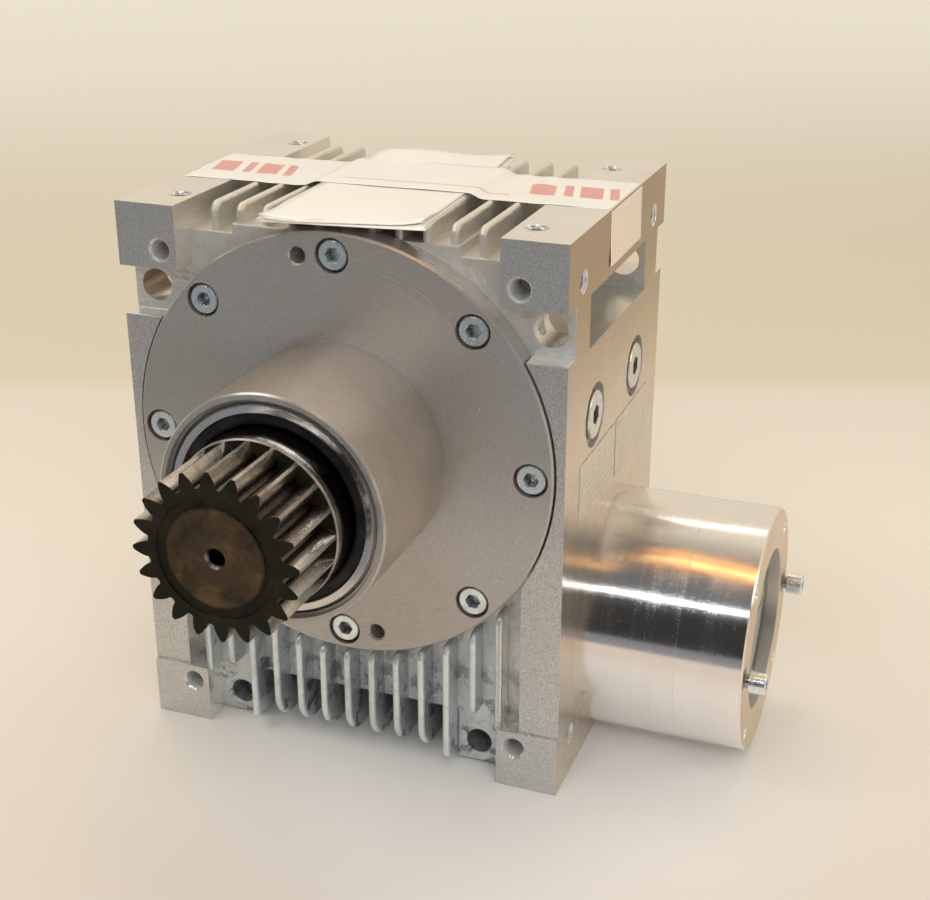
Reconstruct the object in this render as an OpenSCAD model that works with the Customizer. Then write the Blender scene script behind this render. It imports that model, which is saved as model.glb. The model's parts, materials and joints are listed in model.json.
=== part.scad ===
// Worm gearbox for a servo motor: a finned cast housing, a flanged output boss with an
// integral rack pinion, and a round motor adaptor on the worm axis.
// Origin: centre of the four foot holes, on the foot face. +X towards the motor adaptor,
// -Y towards the pinion, +Z up. All sizes in millimetres.

/* [Housing] */
// Width between the side faces
body_w = 200; // [196:1:206]
// Depth between the front and rear corner faces
body_d = 152; // [150:1:156]
// Height from the foot face to the top face
body_h = 250; // [248:1:254]
// Width and height of the four edge rails
rail = 28; // [26:1:30]
// Set-back of the front and rear walls from the corner faces
wall_step = 11.5; // [11:0.5:12]
// Set-back of the side columns from the corner faces
column_step = 1.5; // [1:0.5:2]
// Width of the side columns
column_w = 18; // [16:1:20]
// Height of the gap under each upper corner block
pocket_h = 22; // [20:1:24]
// Spacing of the cooling fins
fin_pitch = 12; // [12:0.5:12]
// Thickness of a cooling fin
fin_t = 3.4; // [3:0.2:4]

/* [Fixing holes] */
// Distance of each tapped corner hole from the two nearest faces
corner_hole_in = 20; // [19:1:21]
// Core radius of the tapped corner holes, for an M10 thread
corner_hole_r = 4.25; // [4:0.05:4.3]
// Depth of the tapped corner holes
corner_hole_depth = 15; // [12:1:15]
// Radius of the upper through bolts' holes
upper_bolt_r = 7.2; // [6:0.1:7.5]
// Radius of the lower through bolts' holes
lower_bolt_r = 6; // [5:0.1:6.5]

/* [Gear set] */
// Height of the output axis above the foot face
output_z = 150; // [150:1:150]
// Module of the worm gear set
gear_module = 4; // [4:1:4]
// Teeth of the worm wheel
wheel_teeth = 36; // [36:1:36]
// Starts of the worm
worm_starts = 2; // [1:1:2]
// Pitch radius of the worm
worm_pitch_r = 19; // [19:1:19]
// Face width of the worm wheel
wheel_face = 30; // [26:1:32]
// Length of the worm thread
worm_len = 74; // [66:1:76]
// Backlash of the worm gear set, along the worm
backlash = 0.5; // [0.4:0.05:0.6]

/* [Output] */
// Module of the rack pinion
pinion_module = 3; // [3:1:3]
// Teeth of the rack pinion
pinion_teeth = 20; // [20:1:20]
// Profile shift of the rack pinion, as a share of its module
pinion_shift = 0.5; // [0.4:0.05:0.5]
// Length of the pinion teeth
pinion_len = 31; // [28:1:34]
// Outer radius of the output flange
flange_r = 95.5; // [95:0.5:96]
// Outer radius of the boss on the output flange
boss_r = 49; // [48:0.5:50]
// Length of the boss in front of the flange face
boss_len = 63; // [62:1:64]
// Distance from the flange face to the pinion's end face
shaft_reach = 106; // [104:1:108]
// Radius of the flange screw circle
screw_circle_r = 85.75; // [85:0.25:86.25]
// Screws in the output flange, and again in the rear cover
flange_screw_count = 8; // [8:1:8]

/* [Motor side] */
// Outer radius of the motor adaptor
adaptor_r = 55.4; // [54:0.2:56]
// Length of the motor adaptor beyond the side face
adaptor_len = 74.3; // [72:0.1:76]
// Length of the motor flange at the adaptor's end
motor_flange_len = 29.3; // [28:0.1:31]
// Radius of the motor pilot bore
pilot_r = 36.5; // [35:0.5:37]
// Radius of the motor bolt circle
motor_circle_r = 49.2; // [48:0.1:50]
// Radius of the motor shaft bore in the coupling hub
motor_shaft_r = 12; // [8:0.5:14]

/* [Wrapping] */
// Width of the packing tape
tape_w = 50; // [45:1:55]
// Width of the document sleeve
sleeve_w = 71; // [66:1:71]
// Length of the document sleeve
sleeve_l = 140; // [130:1:140]
// Thickness of the folded document sleeve
sleeve_t = 2.4; // [1.5:0.1:3]

/* [Hidden] */
$fn = 96;
eps = 0.01;

// Housing planes
half_w = body_w / 2;
half_d = body_d / 2;
wall_y = half_d - wall_step;
column_y = half_d - column_step;
column_x = half_w - column_w;
rail_x = half_w - rail;
pocket_top = body_h - rail;
pocket_z = pocket_top - pocket_h;
shoulder_z = body_h - 12.5;
crown_z = body_h - 8.5;
crown_x = 50;
belly_z = 16;
belly_slant = 18;
bar_x = 50;
bar_bottom = 2;
bar_top = 31.6;
fin_foot = 6.5;
fin_corner_r = 12;
fin_end_r = 3;
fin_gap = 2.5;
top_fin_y = wall_y - 2.5;
hole_chamfer = 1;
foot_chamfer = 0.4;
far_hole_shift = 1;
mid_z = body_h / 2;

// Through bolts and side windows
upper_bolt_x = half_w - 10.5;
upper_bolt_z = pocket_z + pocket_h / 2;
lower_bolt_x = 60;
lower_bolt_z = 12.2;
window_half = 45;
window_low = pocket_z - 2;
window_high = pocket_top - 0.5;

// Gear set
wheel_r = gear_module * wheel_teeth / 2;
center_distance = wheel_r + worm_pitch_r;
worm_z = output_z - center_distance;
wheel_tip_r = wheel_r + gear_module;
wheel_root_r = wheel_r - 1.25 * gear_module;
worm_tip_r = worm_pitch_r + gear_module;
worm_root_r = worm_pitch_r - 1.25 * gear_module;
axial_pitch = PI * gear_module;
lead = axial_pitch * worm_starts;
lead_angle = atan(lead / (2 * PI * worm_pitch_r));
pressure_angle = 20;
wheel_twist = wheel_face * tan(lead_angle) / wheel_r * 180 / PI;

// Housing bores
chamber_r = 78;
worm_chamber_r = 28;
flange_gap = 0.9;
end_seat_r = 31;
end_seat_x = -74;
drive_seat_r = 36;
drive_seat_x = 72;

// Output flange and rear cover
flange_t = wall_step;
flange_y = -half_d;
spigot_len = 10;
spigot_r = chamber_r - 0.02;
counterbore_r = 7.5;
counterbore_depth = 6.6;
m8_head_r = 6.5;
m8_head_h = 5.8;
m8_r = 4;
m8_len = 22;
m8_key = 6;
jack_hole_r = 3.4;
jack_hole_angle = 100.5;
jack_chamfer = 0.8;
o_ring_r = 1.5;
boss_y = flange_y - boss_len;
edge = 0.8;

// Output shaft stations along Y
pinion_y = flange_y - shaft_reach;
collar_y = pinion_y + pinion_len;
collar_r = 35;
seal_r = 45;
seal_case_r = 40;
seal_groove = 1.6;
seal_y = boss_y + 0.9;
seal_w = 10;
front_brg_y = boss_y + 12;
front_brg_w = 17;
front_brg = [30, 42.5, 3.6, 22];
rear_brg_y = 38;
rear_brg_w = 20;
rear_brg = [25, 45, 6.3, 11];
hub_half = 22;
shaft_mid_r = 29;
hub_seat_r = 28;
rear_step_r = 27.5;
shaft_end_y = 64;
hub_r = 60;
hub_boss_r = 42;
key_w = 16;
key_half = 18;
key_low = 22;
key_high = 32.3;
ring_groove_r = 23.5;
centre_hole_r = 3.4;

// Worm shaft stations along X
end_brg_x = -90;
end_brg_w = 16;
end_brg = [15, 31, 4.75, 9];
drive_brg_x = 72;
drive_brg_w = 17;
drive_brg = [17.5, 36, 5.5, 9];
shaft_shoulder_x = 40;
nut_x = 89;
nut_w = 8;
nut_r = 25;
input_seal_x = 101;
input_seal_w = 8;
input_seal_r = 26;
coupling_seat_r = 15;
coupling_seat_x = 110;
shaft_tip_x = 138;
coupling_x = 122;
coupling_len = 46;
coupling_r = 30;
clamp_screw_x = 158;
clamp_screw_y = 19;

// Motor adaptor
joint_x = half_w + adaptor_len - motor_flange_len;
adaptor_end_x = half_w + adaptor_len;
adaptor_web = 12;
adaptor_circle_r = 48;
adaptor_bore_r = 42;
m6_head_r = 5;
m6_head_h = 6;
m6_r = 3;
m6_key = 5;
motor_screw_proud = 2.1;
motor_screw_head_h = 7.2;
pilot_len = 6;
seam = 0.04;
motor_screw_r = 47.5;

// End cap, plugs and plate
cap_r = 47;
cap_t = 8;
cap_screw_r = 39;
plug_y = 32.5;
plug_z = 165;
plug_well_r = 14.3;
plug_well = 4;
plug_r = 10.6;
plug_thread_r = 8.3;
plug_key = 8;
plate_t = 0.3;

// Wrapping
tape_t = 0.35;
sleeve_turn = 9;
sleeve_x = -3.9;
sleeve_y = -9.3;
sleeve_half = 46;

module block(low, high) {
    translate(low) cube(high - low);
}

module y_cyl(r, y0, y1, x = 0, z = 0) {
    translate([x, y0, z]) rotate([-90, 0, 0]) cylinder(h = y1 - y0, r = r);
}

module x_cyl(r, x0, x1, y = 0, z = 0) {
    translate([x0, y, z]) rotate([0, 90, 0]) cylinder(h = x1 - x0, r = r);
}

module y_ring(outer, inner, y0, y1, z = output_z) {
    difference() {
        y_cyl(outer, y0, y1, z = z);
        y_cyl(inner, y0 - 1, y1 + 1, z = z);
    }
}

module x_ring(outer, inner, x0, x1, z = worm_z) {
    difference() {
        x_cyl(outer, x0, x1, z = z);
        x_cyl(inner, x0 - 1, x1 + 1, z = z);
    }
}

// Turns about an axis along +Y: points given as [radius, y]
module y_turned(outline, z = output_z) {
    translate([0, 0, z]) rotate([-90, 0, 0]) rotate_extrude() polygon(outline);
}

// Turns about an axis along +X: points given as [radius, x]
module x_turned(outline, z = worm_z) {
    translate([0, 0, z]) rotate([0, 90, 0]) rotate_extrude() polygon(outline);
}

// Copies onto a circle about the output axis
module on_output_circle(r, count, start = 0) {
    for (i = [0 : count - 1]) {
        a = start + i * 360 / count;
        translate([r * cos(a), 0, output_z + r * sin(a)]) children();
    }
}

// Copies onto a circle about the worm axis
module on_worm_circle(r, count, start = 0) {
    for (i = [0 : count - 1]) {
        a = start + i * 360 / count;
        translate([0, r * cos(a), worm_z + r * sin(a)]) children();
    }
}

// Height of a lower fin's upper end, just outside the flange's rim
function fin_top(x) = output_z - sqrt(pow(flange_r + fin_gap, 2) - x * x) - fin_t / 2;

// A tapped hole with a small lead-in, its mouth at the origin, sunk along -Z
module tapped_hole(r, depth, lead = hole_chamfer) {
    translate([0, 0, -depth]) cylinder(h = depth + 1, r = r);
    translate([0, 0, -lead]) cylinder(h = lead + eps, r1 = r, r2 = r + lead);
}

// A socket head screw, its head's seat at the origin, its shank along -Z
module cap_screw(r, len, head_r, head_h, key) {
    round_over = 0.5;
    difference() {
        union() {
            rotate_extrude() polygon([
                [0, 0], [head_r, 0], [head_r, head_h - round_over],
                [head_r - round_over, head_h], [0, head_h]
            ]);
            translate([0, 0, -len]) cylinder(h = len + eps, r = r);
        }
        translate([0, 0, 0.3 * head_h]) cylinder(h = head_h, r = key / 2 / cos(30), $fn = 6);
    }
}

// A quarter turn of a fin's half-round rim: -90 and 0 turn the low corners, 90 and 180 the high ones
module rim_corner(x, y, z, r, quarter) {
    translate([x, y, z]) rotate([0, 90, 0]) rotate(quarter)
        rotate_extrude(angle = 90) translate([r, 0]) circle(r = fin_t / 2);
}

// The rounded upper end of a fin or rib, and its rim down to a given height
module fin_head(x, y, low) {
    r = fin_t / 2;
    high = fin_top(x);
    for (s = [-1, 1]) {
        translate([x, s * y, low]) cylinder(h = high - fin_end_r - low, r = r);
        rim_corner(x, s * (y - fin_end_r), high - fin_end_r, fin_end_r, s > 0 ? 90 : 180);
    }
    y_cyl(r, -y + fin_end_r, y - fin_end_r, x, high);
    translate([x - r, 0, 0]) rotate([90, 0, 90]) linear_extrude(height = fin_t) {
        translate([-y, low]) square([2 * y, high - fin_end_r - low]);
        translate([-y + fin_end_r, low]) square([2 * (y - fin_end_r), high - low]);
        for (s = [-1, 1]) translate([s * (y - fin_end_r), high - fin_end_r]) circle(r = fin_end_r);
    }
}

// One bottom fin, standing in the YZ plane, with a half-round rim
module bottom_fin(x, foot, corner) {
    r = fin_t / 2;
    y = half_d - r;
    z = foot + r;
    fin_head(x, y, z + corner);
    y_cyl(r, -y + corner, y - corner, x, z);
    if (corner > 0) {
        for (s = [-1, 1]) rim_corner(x, s * (y - corner), z + corner, corner, s > 0 ? 0 : -90);
        translate([x - r, 0, 0]) rotate([90, 0, 90]) linear_extrude(height = fin_t) {
            translate([-y + corner, z]) square([2 * (y - corner), corner + eps]);
            for (s = [-1, 1]) translate([s * (y - corner), z + corner]) circle(r = corner);
        }
    }
}

// One top fin with a half-round crest and rounded ends
module top_fin(x) {
    r = fin_t / 2;
    z = body_h - r;
    translate([x - r, 0, 0]) rotate([90, 0, 90]) linear_extrude(height = fin_t) {
        translate([-top_fin_y, shoulder_z - 1]) square([2 * top_fin_y, z - fin_end_r - shoulder_z + 1]);
        translate([-top_fin_y + fin_end_r, z - fin_end_r - eps])
            square([2 * (top_fin_y - fin_end_r), fin_end_r + eps]);
        for (s = [-1, 1]) translate([s * (top_fin_y - fin_end_r), z - fin_end_r]) circle(r = fin_end_r);
    }
    y_cyl(r, -top_fin_y + fin_end_r, top_fin_y - fin_end_r, x, z);
    for (s = [-1, 1]) {
        rim_corner(x, s * (top_fin_y - fin_end_r), z - fin_end_r, fin_end_r, s > 0 ? 90 : 180);
        translate([x, s * top_fin_y, shoulder_z - 1]) cylinder(h = z - fin_end_r - shoulder_z + 1, r = r);
    }
}

// Upright rib on the front and rear walls; its lower end is rounded where it stands free
module wall_rib(x, low, free) {
    y = column_y - fin_t / 2;
    round_r = free ? fin_end_r : 0;
    fin_head(x, y, low + round_r);
    if (free) {
        y_cyl(fin_t / 2, -y + round_r, y - round_r, x, low);
        for (s = [-1, 1]) rim_corner(x, s * (y - round_r), low + round_r, round_r, s > 0 ? 0 : -90);
        translate([x - fin_t / 2, 0, 0]) rotate([90, 0, 90]) linear_extrude(height = fin_t) {
            translate([-y + round_r, low]) square([2 * (y - round_r), round_r + eps]);
            for (s = [-1, 1]) translate([s * (y - round_r), low + round_r]) circle(r = round_r);
        }
    }
}

module housing_shell() {
    // Core with a slanted belly between the bottom fins
    rotate([90, 0, 90]) translate([0, 0, -bar_x - 1]) linear_extrude(height = 2 * bar_x + 2) polygon([
        [-wall_y, crown_z], [-wall_y, belly_z + belly_slant], [-wall_y + belly_slant, belly_z],
        [wall_y - belly_slant, belly_z], [wall_y, belly_z + belly_slant], [wall_y, crown_z]
    ]);
    block([-column_x - 1, -wall_y, rail - 1], [column_x + 1, wall_y, pocket_z]);
    block([-rail_x - 1, -wall_y, pocket_z - 1], [rail_x + 1, wall_y, shoulder_z]);
    for (s = [-1, 1]) {
        lo = min(s * rail_x, s * half_w);
        // Bar that carries the lower through bolts
        block([min(s * bar_x, s * (rail_x + 1)), -wall_y, bar_bottom],
              [max(s * bar_x, s * (rail_x + 1)), wall_y, bar_top]);
        // Side column, side wall beside the windows, and the two edge rails
        block([min(s * column_x, s * half_w), -column_y, rail - 1],
              [max(s * column_x, s * half_w), column_y, pocket_z]);
        block([lo, -wall_y, pocket_z - 1], [lo + rail, wall_y, pocket_top + 1]);
        block([lo, -half_d, pocket_top], [lo + rail, half_d, body_h]);
        block([lo, -half_d, 0], [lo + rail, half_d, rail]);
    }
}

module housing_fins() {
    for (k = [-5 : 5]) top_fin(k * fin_pitch);
    for (k = [-3 : 3]) bottom_fin(k * fin_pitch, fin_foot, fin_corner_r);
    for (s = [-1, 1]) {
        bottom_fin(s * 4 * fin_pitch, fin_foot, 0);
        wall_rib(s * 5 * fin_pitch, bar_top + 1, true);
        wall_rib(s * 6 * fin_pitch, rail - 1, false);
    }
}

// Three tapped holes at each corner; those in the rear, left and foot faces stand further in
module corner_holes() {
    for (sx = [-1, 1], sy = [-1, 1], sz = [-1, 1]) {
        for (far = [0, 1]) {
            x = sx * (half_w - corner_hole_in - far * far_hole_shift);
            y = sy * (half_d - corner_hole_in - far * far_hole_shift);
            z = mid_z + sz * (mid_z - corner_hole_in - far * far_hole_shift);
            if (sy == (far == 1 ? 1 : -1))
                translate([x, sy * half_d, z]) rotate([-sy * 90, 0, 0])
                    tapped_hole(corner_hole_r, corner_hole_depth);
            if (sx == (far == 1 ? -1 : 1))
                translate([sx * half_w, y, z]) rotate([0, sx * 90, 0])
                    tapped_hole(corner_hole_r, corner_hole_depth);
            if (sz == (far == 1 ? -1 : 1))
                translate([x, y, sz > 0 ? body_h : 0]) rotate([sz > 0 ? 0 : 180, 0, 0])
                    tapped_hole(corner_hole_r, corner_hole_depth, sz > 0 ? hole_chamfer : foot_chamfer);
        }
    }
}

module housing() {
    color([0.78, 0.76, 0.73]) difference() {
        union() {
            housing_shell();
            housing_fins();
        }
        // Clearance round the flange and the rear cover, and the wheel chamber
        y_cyl(flange_r + flange_gap, -half_d - 1, -wall_y, z = output_z);
        y_cyl(flange_r + flange_gap, wall_y, half_d + 1, z = output_z);
        y_cyl(chamber_r, -wall_y - 1, wall_y + 1, z = output_z);
        // Worm chamber and its two bearing seats
        x_cyl(worm_chamber_r, end_seat_x - 1, drive_seat_x + 1, z = worm_z);
        x_cyl(end_seat_r, -half_w - 1, end_seat_x, z = worm_z);
        x_cyl(drive_seat_r, drive_seat_x, half_w + 1, z = worm_z);
        // Side windows under the top rails
        for (s = [-1, 1])
            block([min(s * rail_x, s * (half_w + 1)), -window_half, window_low],
                  [max(s * rail_x, s * (half_w + 1)), window_half, window_high]);
        // Through bolts, upper and lower
        for (s = [-1, 1]) {
            y_cyl(upper_bolt_r, -half_d, half_d, s * upper_bolt_x, upper_bolt_z);
            y_cyl(lower_bolt_r, -half_d, half_d, s * lower_bolt_x, lower_bolt_z);
        }
        corner_holes();
        // Cover screw holes in the front and rear walls
        on_output_circle(screw_circle_r, flange_screw_count) {
            y_cyl(m8_r, -wall_y - 1, -wall_y + 18);
            y_cyl(m8_r, wall_y - 18, wall_y + 1);
        }
        // Oil plug wells
        for (sx = [-1, 1], sy = [-1, 1])
            translate([sx * half_w, sy * plug_y, plug_z]) rotate([0, sx * 90, 0]) {
                translate([0, 0, -plug_well]) cylinder(h = plug_well + 1, r = plug_well_r);
                translate([0, 0, -30]) cylinder(h = 30, r = plug_thread_r);
            }
        // End cap and adaptor screw holes
        on_worm_circle(cap_screw_r, 4, 45) x_cyl(m6_r, -half_w - 1, -half_w + 14);
        on_worm_circle(adaptor_circle_r, 4, 45) x_cyl(m6_r, half_w - 16, half_w + 1);
    }
}

module output_flange() {
    color([0.66, 0.63, 0.62]) difference() {
        union() {
            y_turned([
                [0, boss_y], [boss_r - edge, boss_y], [boss_r, boss_y + edge], [boss_r, flange_y],
                [flange_r - edge, flange_y], [flange_r, flange_y + edge],
                [flange_r, flange_y + flange_t], [0, flange_y + flange_t]
            ]);
            y_cyl(spigot_r, -wall_y - 1, -wall_y + spigot_len, z = output_z);
        }
        // Seal seat with its lead-in, bearing seat, and the bore behind them
        y_turned([
            [0, boss_y - 1], [seal_r + seal_groove + 0.6, boss_y - 1], [seal_r, boss_y + seal_groove],
            [seal_r, seal_y + seal_w], [front_brg[1], seal_y + seal_w],
            [front_brg[1], front_brg_y + front_brg_w], [38, front_brg_y + front_brg_w],
            [38, -wall_y + 1], [66, -wall_y + 1], [66, -wall_y + spigot_len + 1],
            [0, -wall_y + spigot_len + 1]
        ]);
        on_output_circle(screw_circle_r, flange_screw_count) {
            y_cyl(m8_r + 0.5, flange_y - 1, -wall_y + 1);
            y_cyl(counterbore_r, flange_y - 1, flange_y + counterbore_depth);
        }
        on_output_circle(screw_circle_r, 2, jack_hole_angle)
            translate([0, flange_y, 0]) rotate([90, 0, 0])
                tapped_hole(jack_hole_r, flange_t + 1, jack_chamfer);
        o_ring_groove(-wall_y + 4);
    }
}

// Groove for a sealing ring round a cover's spigot, centred at y
module o_ring_groove(y) {
    y_ring(spigot_r + 1, chamber_r - 3.2, y - 1.9, y + 1.9);
}

module o_ring(y) {
    color([0.1, 0.1, 0.1]) translate([0, y, output_z]) rotate([-90, 0, 0])
        rotate_extrude() translate([chamber_r - o_ring_r - 0.05, 0]) circle(r = o_ring_r, $fn = 24);
}

module output_flange_screws() {
    color([0.72, 0.75, 0.8]) on_output_circle(screw_circle_r, flange_screw_count)
        translate([0, flange_y + counterbore_depth, 0]) rotate([90, 0, 0])
            cap_screw(m8_r, m8_len, m8_head_r, m8_head_h, m8_key);
}

module output_flange_o_ring() {
    o_ring(-wall_y + 4);
}

module output_seal_case() {
    color([0.8, 0.8, 0.8]) y_turned([
        [seal_case_r + 0.6, seal_y], [seal_r - seal_groove, seal_y], [seal_r - 0.02, seal_y + 2.2],
        [seal_r - 0.02, seal_y + seal_w], [seal_case_r, seal_y + seal_w], [seal_case_r, seal_y + 0.6]
    ]);
}

module output_seal_lip() {
    lip_r = collar_r + 0.05;
    color([0.08, 0.08, 0.08]) y_turned([
        [lip_r + 0.5, seal_y + 1.6], [lip_r + 1.4, seal_y + 1.1], [seal_case_r, seal_y + 1.1],
        [seal_case_r, seal_y + seal_w - 1], [lip_r + 0.6, seal_y + seal_w - 1],
        [lip_r, seal_y + 5], [lip_r, seal_y + 2.4]
    ]);
}

// Bearing data: [bore radius, outer radius, ball radius, ball count]
function pitch_r(b) = (b[0] + b[1]) / 2;
function land_in(b) = pitch_r(b) - 0.62 * b[2];
function land_out(b) = pitch_r(b) + 0.62 * b[2];
race_play = 0.06;

// Bearing parts in their own frame: axis along +Z, from 0 to w
module race(b, w, low, high) {
    difference() {
        rotate_extrude() translate([low, 0]) square([high - low, w]);
        translate([0, 0, w / 2]) rotate_extrude() translate([pitch_r(b), 0])
            circle(r = b[2] + race_play, $fn = 48);
    }
}

module inner_race(b, w) {
    color([0.75, 0.76, 0.78]) race(b, w, b[0], land_in(b));
}

module outer_race(b, w) {
    color([0.75, 0.76, 0.78]) race(b, w, land_out(b), b[1]);
}

module balls(b, w) {
    color([0.85, 0.86, 0.88]) for (i = [0 : b[3] - 1])
        rotate(i * 360 / b[3]) translate([pitch_r(b), 0, w / 2]) sphere(r = b[2], $fn = 32);
}

module ball_cage(b, w) {
    t = 0.3 * b[2];
    color([0.75, 0.6, 0.3]) translate([0, 0, w / 2]) difference() {
        rotate_extrude() translate([pitch_r(b) - t, -1.25 * b[2]]) square([2 * t, 2.5 * b[2]]);
        for (i = [0 : b[3] - 1])
            rotate(i * 360 / b[3]) rotate([0, 90, 0]) translate([0, 0, pitch_r(b) - 2 * t])
                cylinder(h = 4 * t, r = b[2] + 0.12, $fn = 32);
    }
}

module on_output(y) {
    translate([0, y, output_z]) rotate([-90, 0, 0]) children();
}

module on_worm(x) {
    translate([x, 0, worm_z]) rotate([0, 90, 0]) children();
}

module output_front_bearing_outer() {
    on_output(front_brg_y) outer_race(front_brg, front_brg_w);
}

module output_rear_bearing_outer() {
    on_output(rear_brg_y) outer_race(rear_brg, rear_brg_w);
}

module output_front_bearing_inner() {
    on_output(front_brg_y) inner_race(front_brg, front_brg_w);
}

module output_rear_bearing_inner() {
    on_output(rear_brg_y) inner_race(rear_brg, rear_brg_w);
}

module output_front_bearing_balls() {
    on_output(front_brg_y) balls(front_brg, front_brg_w);
}

module output_rear_bearing_balls() {
    on_output(rear_brg_y) balls(rear_brg, rear_brg_w);
}

module output_front_bearing_cage() {
    on_output(front_brg_y) ball_cage(front_brg, front_brg_w);
}

module output_rear_bearing_cage() {
    on_output(rear_brg_y) ball_cage(rear_brg, rear_brg_w);
}

module rear_cover() {
    seat_wall = 8;
    color([0.66, 0.63, 0.62]) difference() {
        union() {
            y_turned([
                [0, wall_y], [flange_r, wall_y], [flange_r, half_d - edge],
                [flange_r - edge, half_d], [seal_r + 12, half_d], [seal_r + 10, half_d - 2],
                [0, half_d - 2]
            ]);
            y_cyl(spigot_r, wall_y - spigot_len, wall_y + 1, z = output_z);
            y_cyl(rear_brg[1] + seat_wall, rear_brg_y, wall_y + 1, z = output_z);
        }
        difference() {
            y_cyl(66, wall_y - spigot_len - 1, wall_y - 1, z = output_z);
            y_cyl(rear_brg[1] + seat_wall, wall_y - spigot_len - 2, wall_y, z = output_z);
        }
        y_cyl(rear_brg[1], rear_brg_y - 1, rear_brg_y + rear_brg_w, z = output_z);
        y_cyl(rear_brg[1] - 5, rear_brg_y, shaft_end_y + 4, z = output_z);
        on_output_circle(screw_circle_r, flange_screw_count) {
            y_cyl(m8_r + 0.5, wall_y - 1, half_d + 1);
            y_cyl(counterbore_r, half_d - counterbore_depth, half_d + 1);
        }
        on_output_circle(screw_circle_r, 2, jack_hole_angle)
            translate([0, half_d, 0]) rotate([-90, 0, 0])
                tapped_hole(jack_hole_r, flange_t + 1, jack_chamfer);
        o_ring_groove(wall_y - 4);
    }
}

module rear_cover_screws() {
    color([0.72, 0.75, 0.8]) on_output_circle(screw_circle_r, flange_screw_count)
        translate([0, half_d - counterbore_depth, 0]) rotate([-90, 0, 0])
            cap_screw(m8_r, m8_len, m8_head_r, m8_head_h, m8_key);
}

module rear_cover_o_ring() {
    o_ring(wall_y - 4);
}

module worm_end_cap() {
    spigot_x = end_brg_x;
    color([0.66, 0.63, 0.62]) difference() {
        x_turned([
            [0, -half_w - cap_t], [cap_r - 1.2, -half_w - cap_t], [cap_r, -half_w - cap_t + 1.2],
            [cap_r, -half_w], [end_seat_r - 0.02, -half_w], [end_seat_r - 0.02, spigot_x],
            [end_seat_r - 6, spigot_x], [end_seat_r - 6, -half_w - 2], [0, -half_w - 2]
        ]);
        on_worm_circle(cap_screw_r, 4, 45) {
            x_cyl(m6_r + 0.3, -half_w - cap_t - 1, -half_w + 1);
            x_cyl(m6_head_r + 0.5, -half_w - cap_t - 1, -half_w - cap_t + 5.5);
        }
        x_ring(end_seat_r + 1, end_seat_r - 3.2, -half_w + 2.1, -half_w + 5.9);
    }
}

module worm_end_cap_screws() {
    color([0.72, 0.75, 0.8]) on_worm_circle(cap_screw_r, 4, 45)
        translate([-half_w - cap_t + 5.5, 0, 0]) rotate([0, -90, 0])
            cap_screw(m6_r, 16, m6_head_r, 5.2, m6_key);
}

module worm_end_cap_o_ring() {
    color([0.1, 0.1, 0.1]) on_worm(-half_w + 4)
        rotate_extrude() translate([end_seat_r - o_ring_r - 0.05, 0]) circle(r = o_ring_r, $fn = 24);
}

module worm_end_bearing_outer() {
    on_worm(end_brg_x) outer_race(end_brg, end_brg_w);
}

module worm_drive_bearing_outer() {
    on_worm(drive_brg_x) outer_race(drive_brg, drive_brg_w);
}

module worm_end_bearing_inner() {
    on_worm(end_brg_x) inner_race(end_brg, end_brg_w);
}

module worm_drive_bearing_inner() {
    on_worm(drive_brg_x) inner_race(drive_brg, drive_brg_w);
}

module worm_end_bearing_balls() {
    on_worm(end_brg_x) balls(end_brg, end_brg_w);
}

module worm_drive_bearing_balls() {
    on_worm(drive_brg_x) balls(drive_brg, drive_brg_w);
}

module worm_end_bearing_cage() {
    on_worm(end_brg_x) ball_cage(end_brg, end_brg_w);
}

module worm_drive_bearing_cage() {
    on_worm(drive_brg_x) ball_cage(drive_brg, drive_brg_w);
}

module input_seal() {
    lip_r = drive_brg[0] + 0.05;
    color([0.1, 0.1, 0.1]) x_turned([
        [lip_r + 0.6, input_seal_x], [input_seal_r, input_seal_x],
        [input_seal_r, input_seal_x + input_seal_w], [lip_r + 0.6, input_seal_x + input_seal_w],
        [lip_r, input_seal_x + 5], [lip_r, input_seal_x + 3]
    ]);
}

module adaptor_housing() {
    spigot_x = drive_brg_x + drive_brg_w;
    web_x = half_w + adaptor_web;
    color([0.86, 0.85, 0.84]) difference() {
        x_turned([
            [0, spigot_x], [drive_seat_r - 0.02, spigot_x], [drive_seat_r - 0.02, half_w],
            [adaptor_r, half_w], [adaptor_r, joint_x - seam], [adaptor_r - seam, joint_x],
            [0, joint_x]
        ]);
        x_cyl(29, spigot_x - 1, input_seal_x - 1, z = worm_z);
        x_cyl(20, spigot_x - 1, web_x + 1, z = worm_z);
        x_cyl(input_seal_r, input_seal_x, web_x + 1, z = worm_z);
        x_cyl(adaptor_bore_r, web_x, joint_x + 1, z = worm_z);
        on_worm_circle(adaptor_circle_r, 4, 45) {
            x_cyl(m6_r + 0.3, half_w - 1, joint_x + 1);
            x_cyl(m6_head_r + 0.5, joint_x - m6_head_h - 1, joint_x + 1);
        }
        on_worm_circle(motor_screw_r, 2) x_cyl(m6_r, joint_x - 14, joint_x + 1);
    }
}

module adaptor_screws() {
    color([0.72, 0.75, 0.8]) on_worm_circle(adaptor_circle_r, 4, 45)
        translate([joint_x - m6_head_h - 1, 0, 0]) rotate([0, 90, 0])
            cap_screw(m6_r, joint_x - m6_head_h - 1 - half_w + 15, m6_head_r, m6_head_h, m6_key);
}

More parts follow.
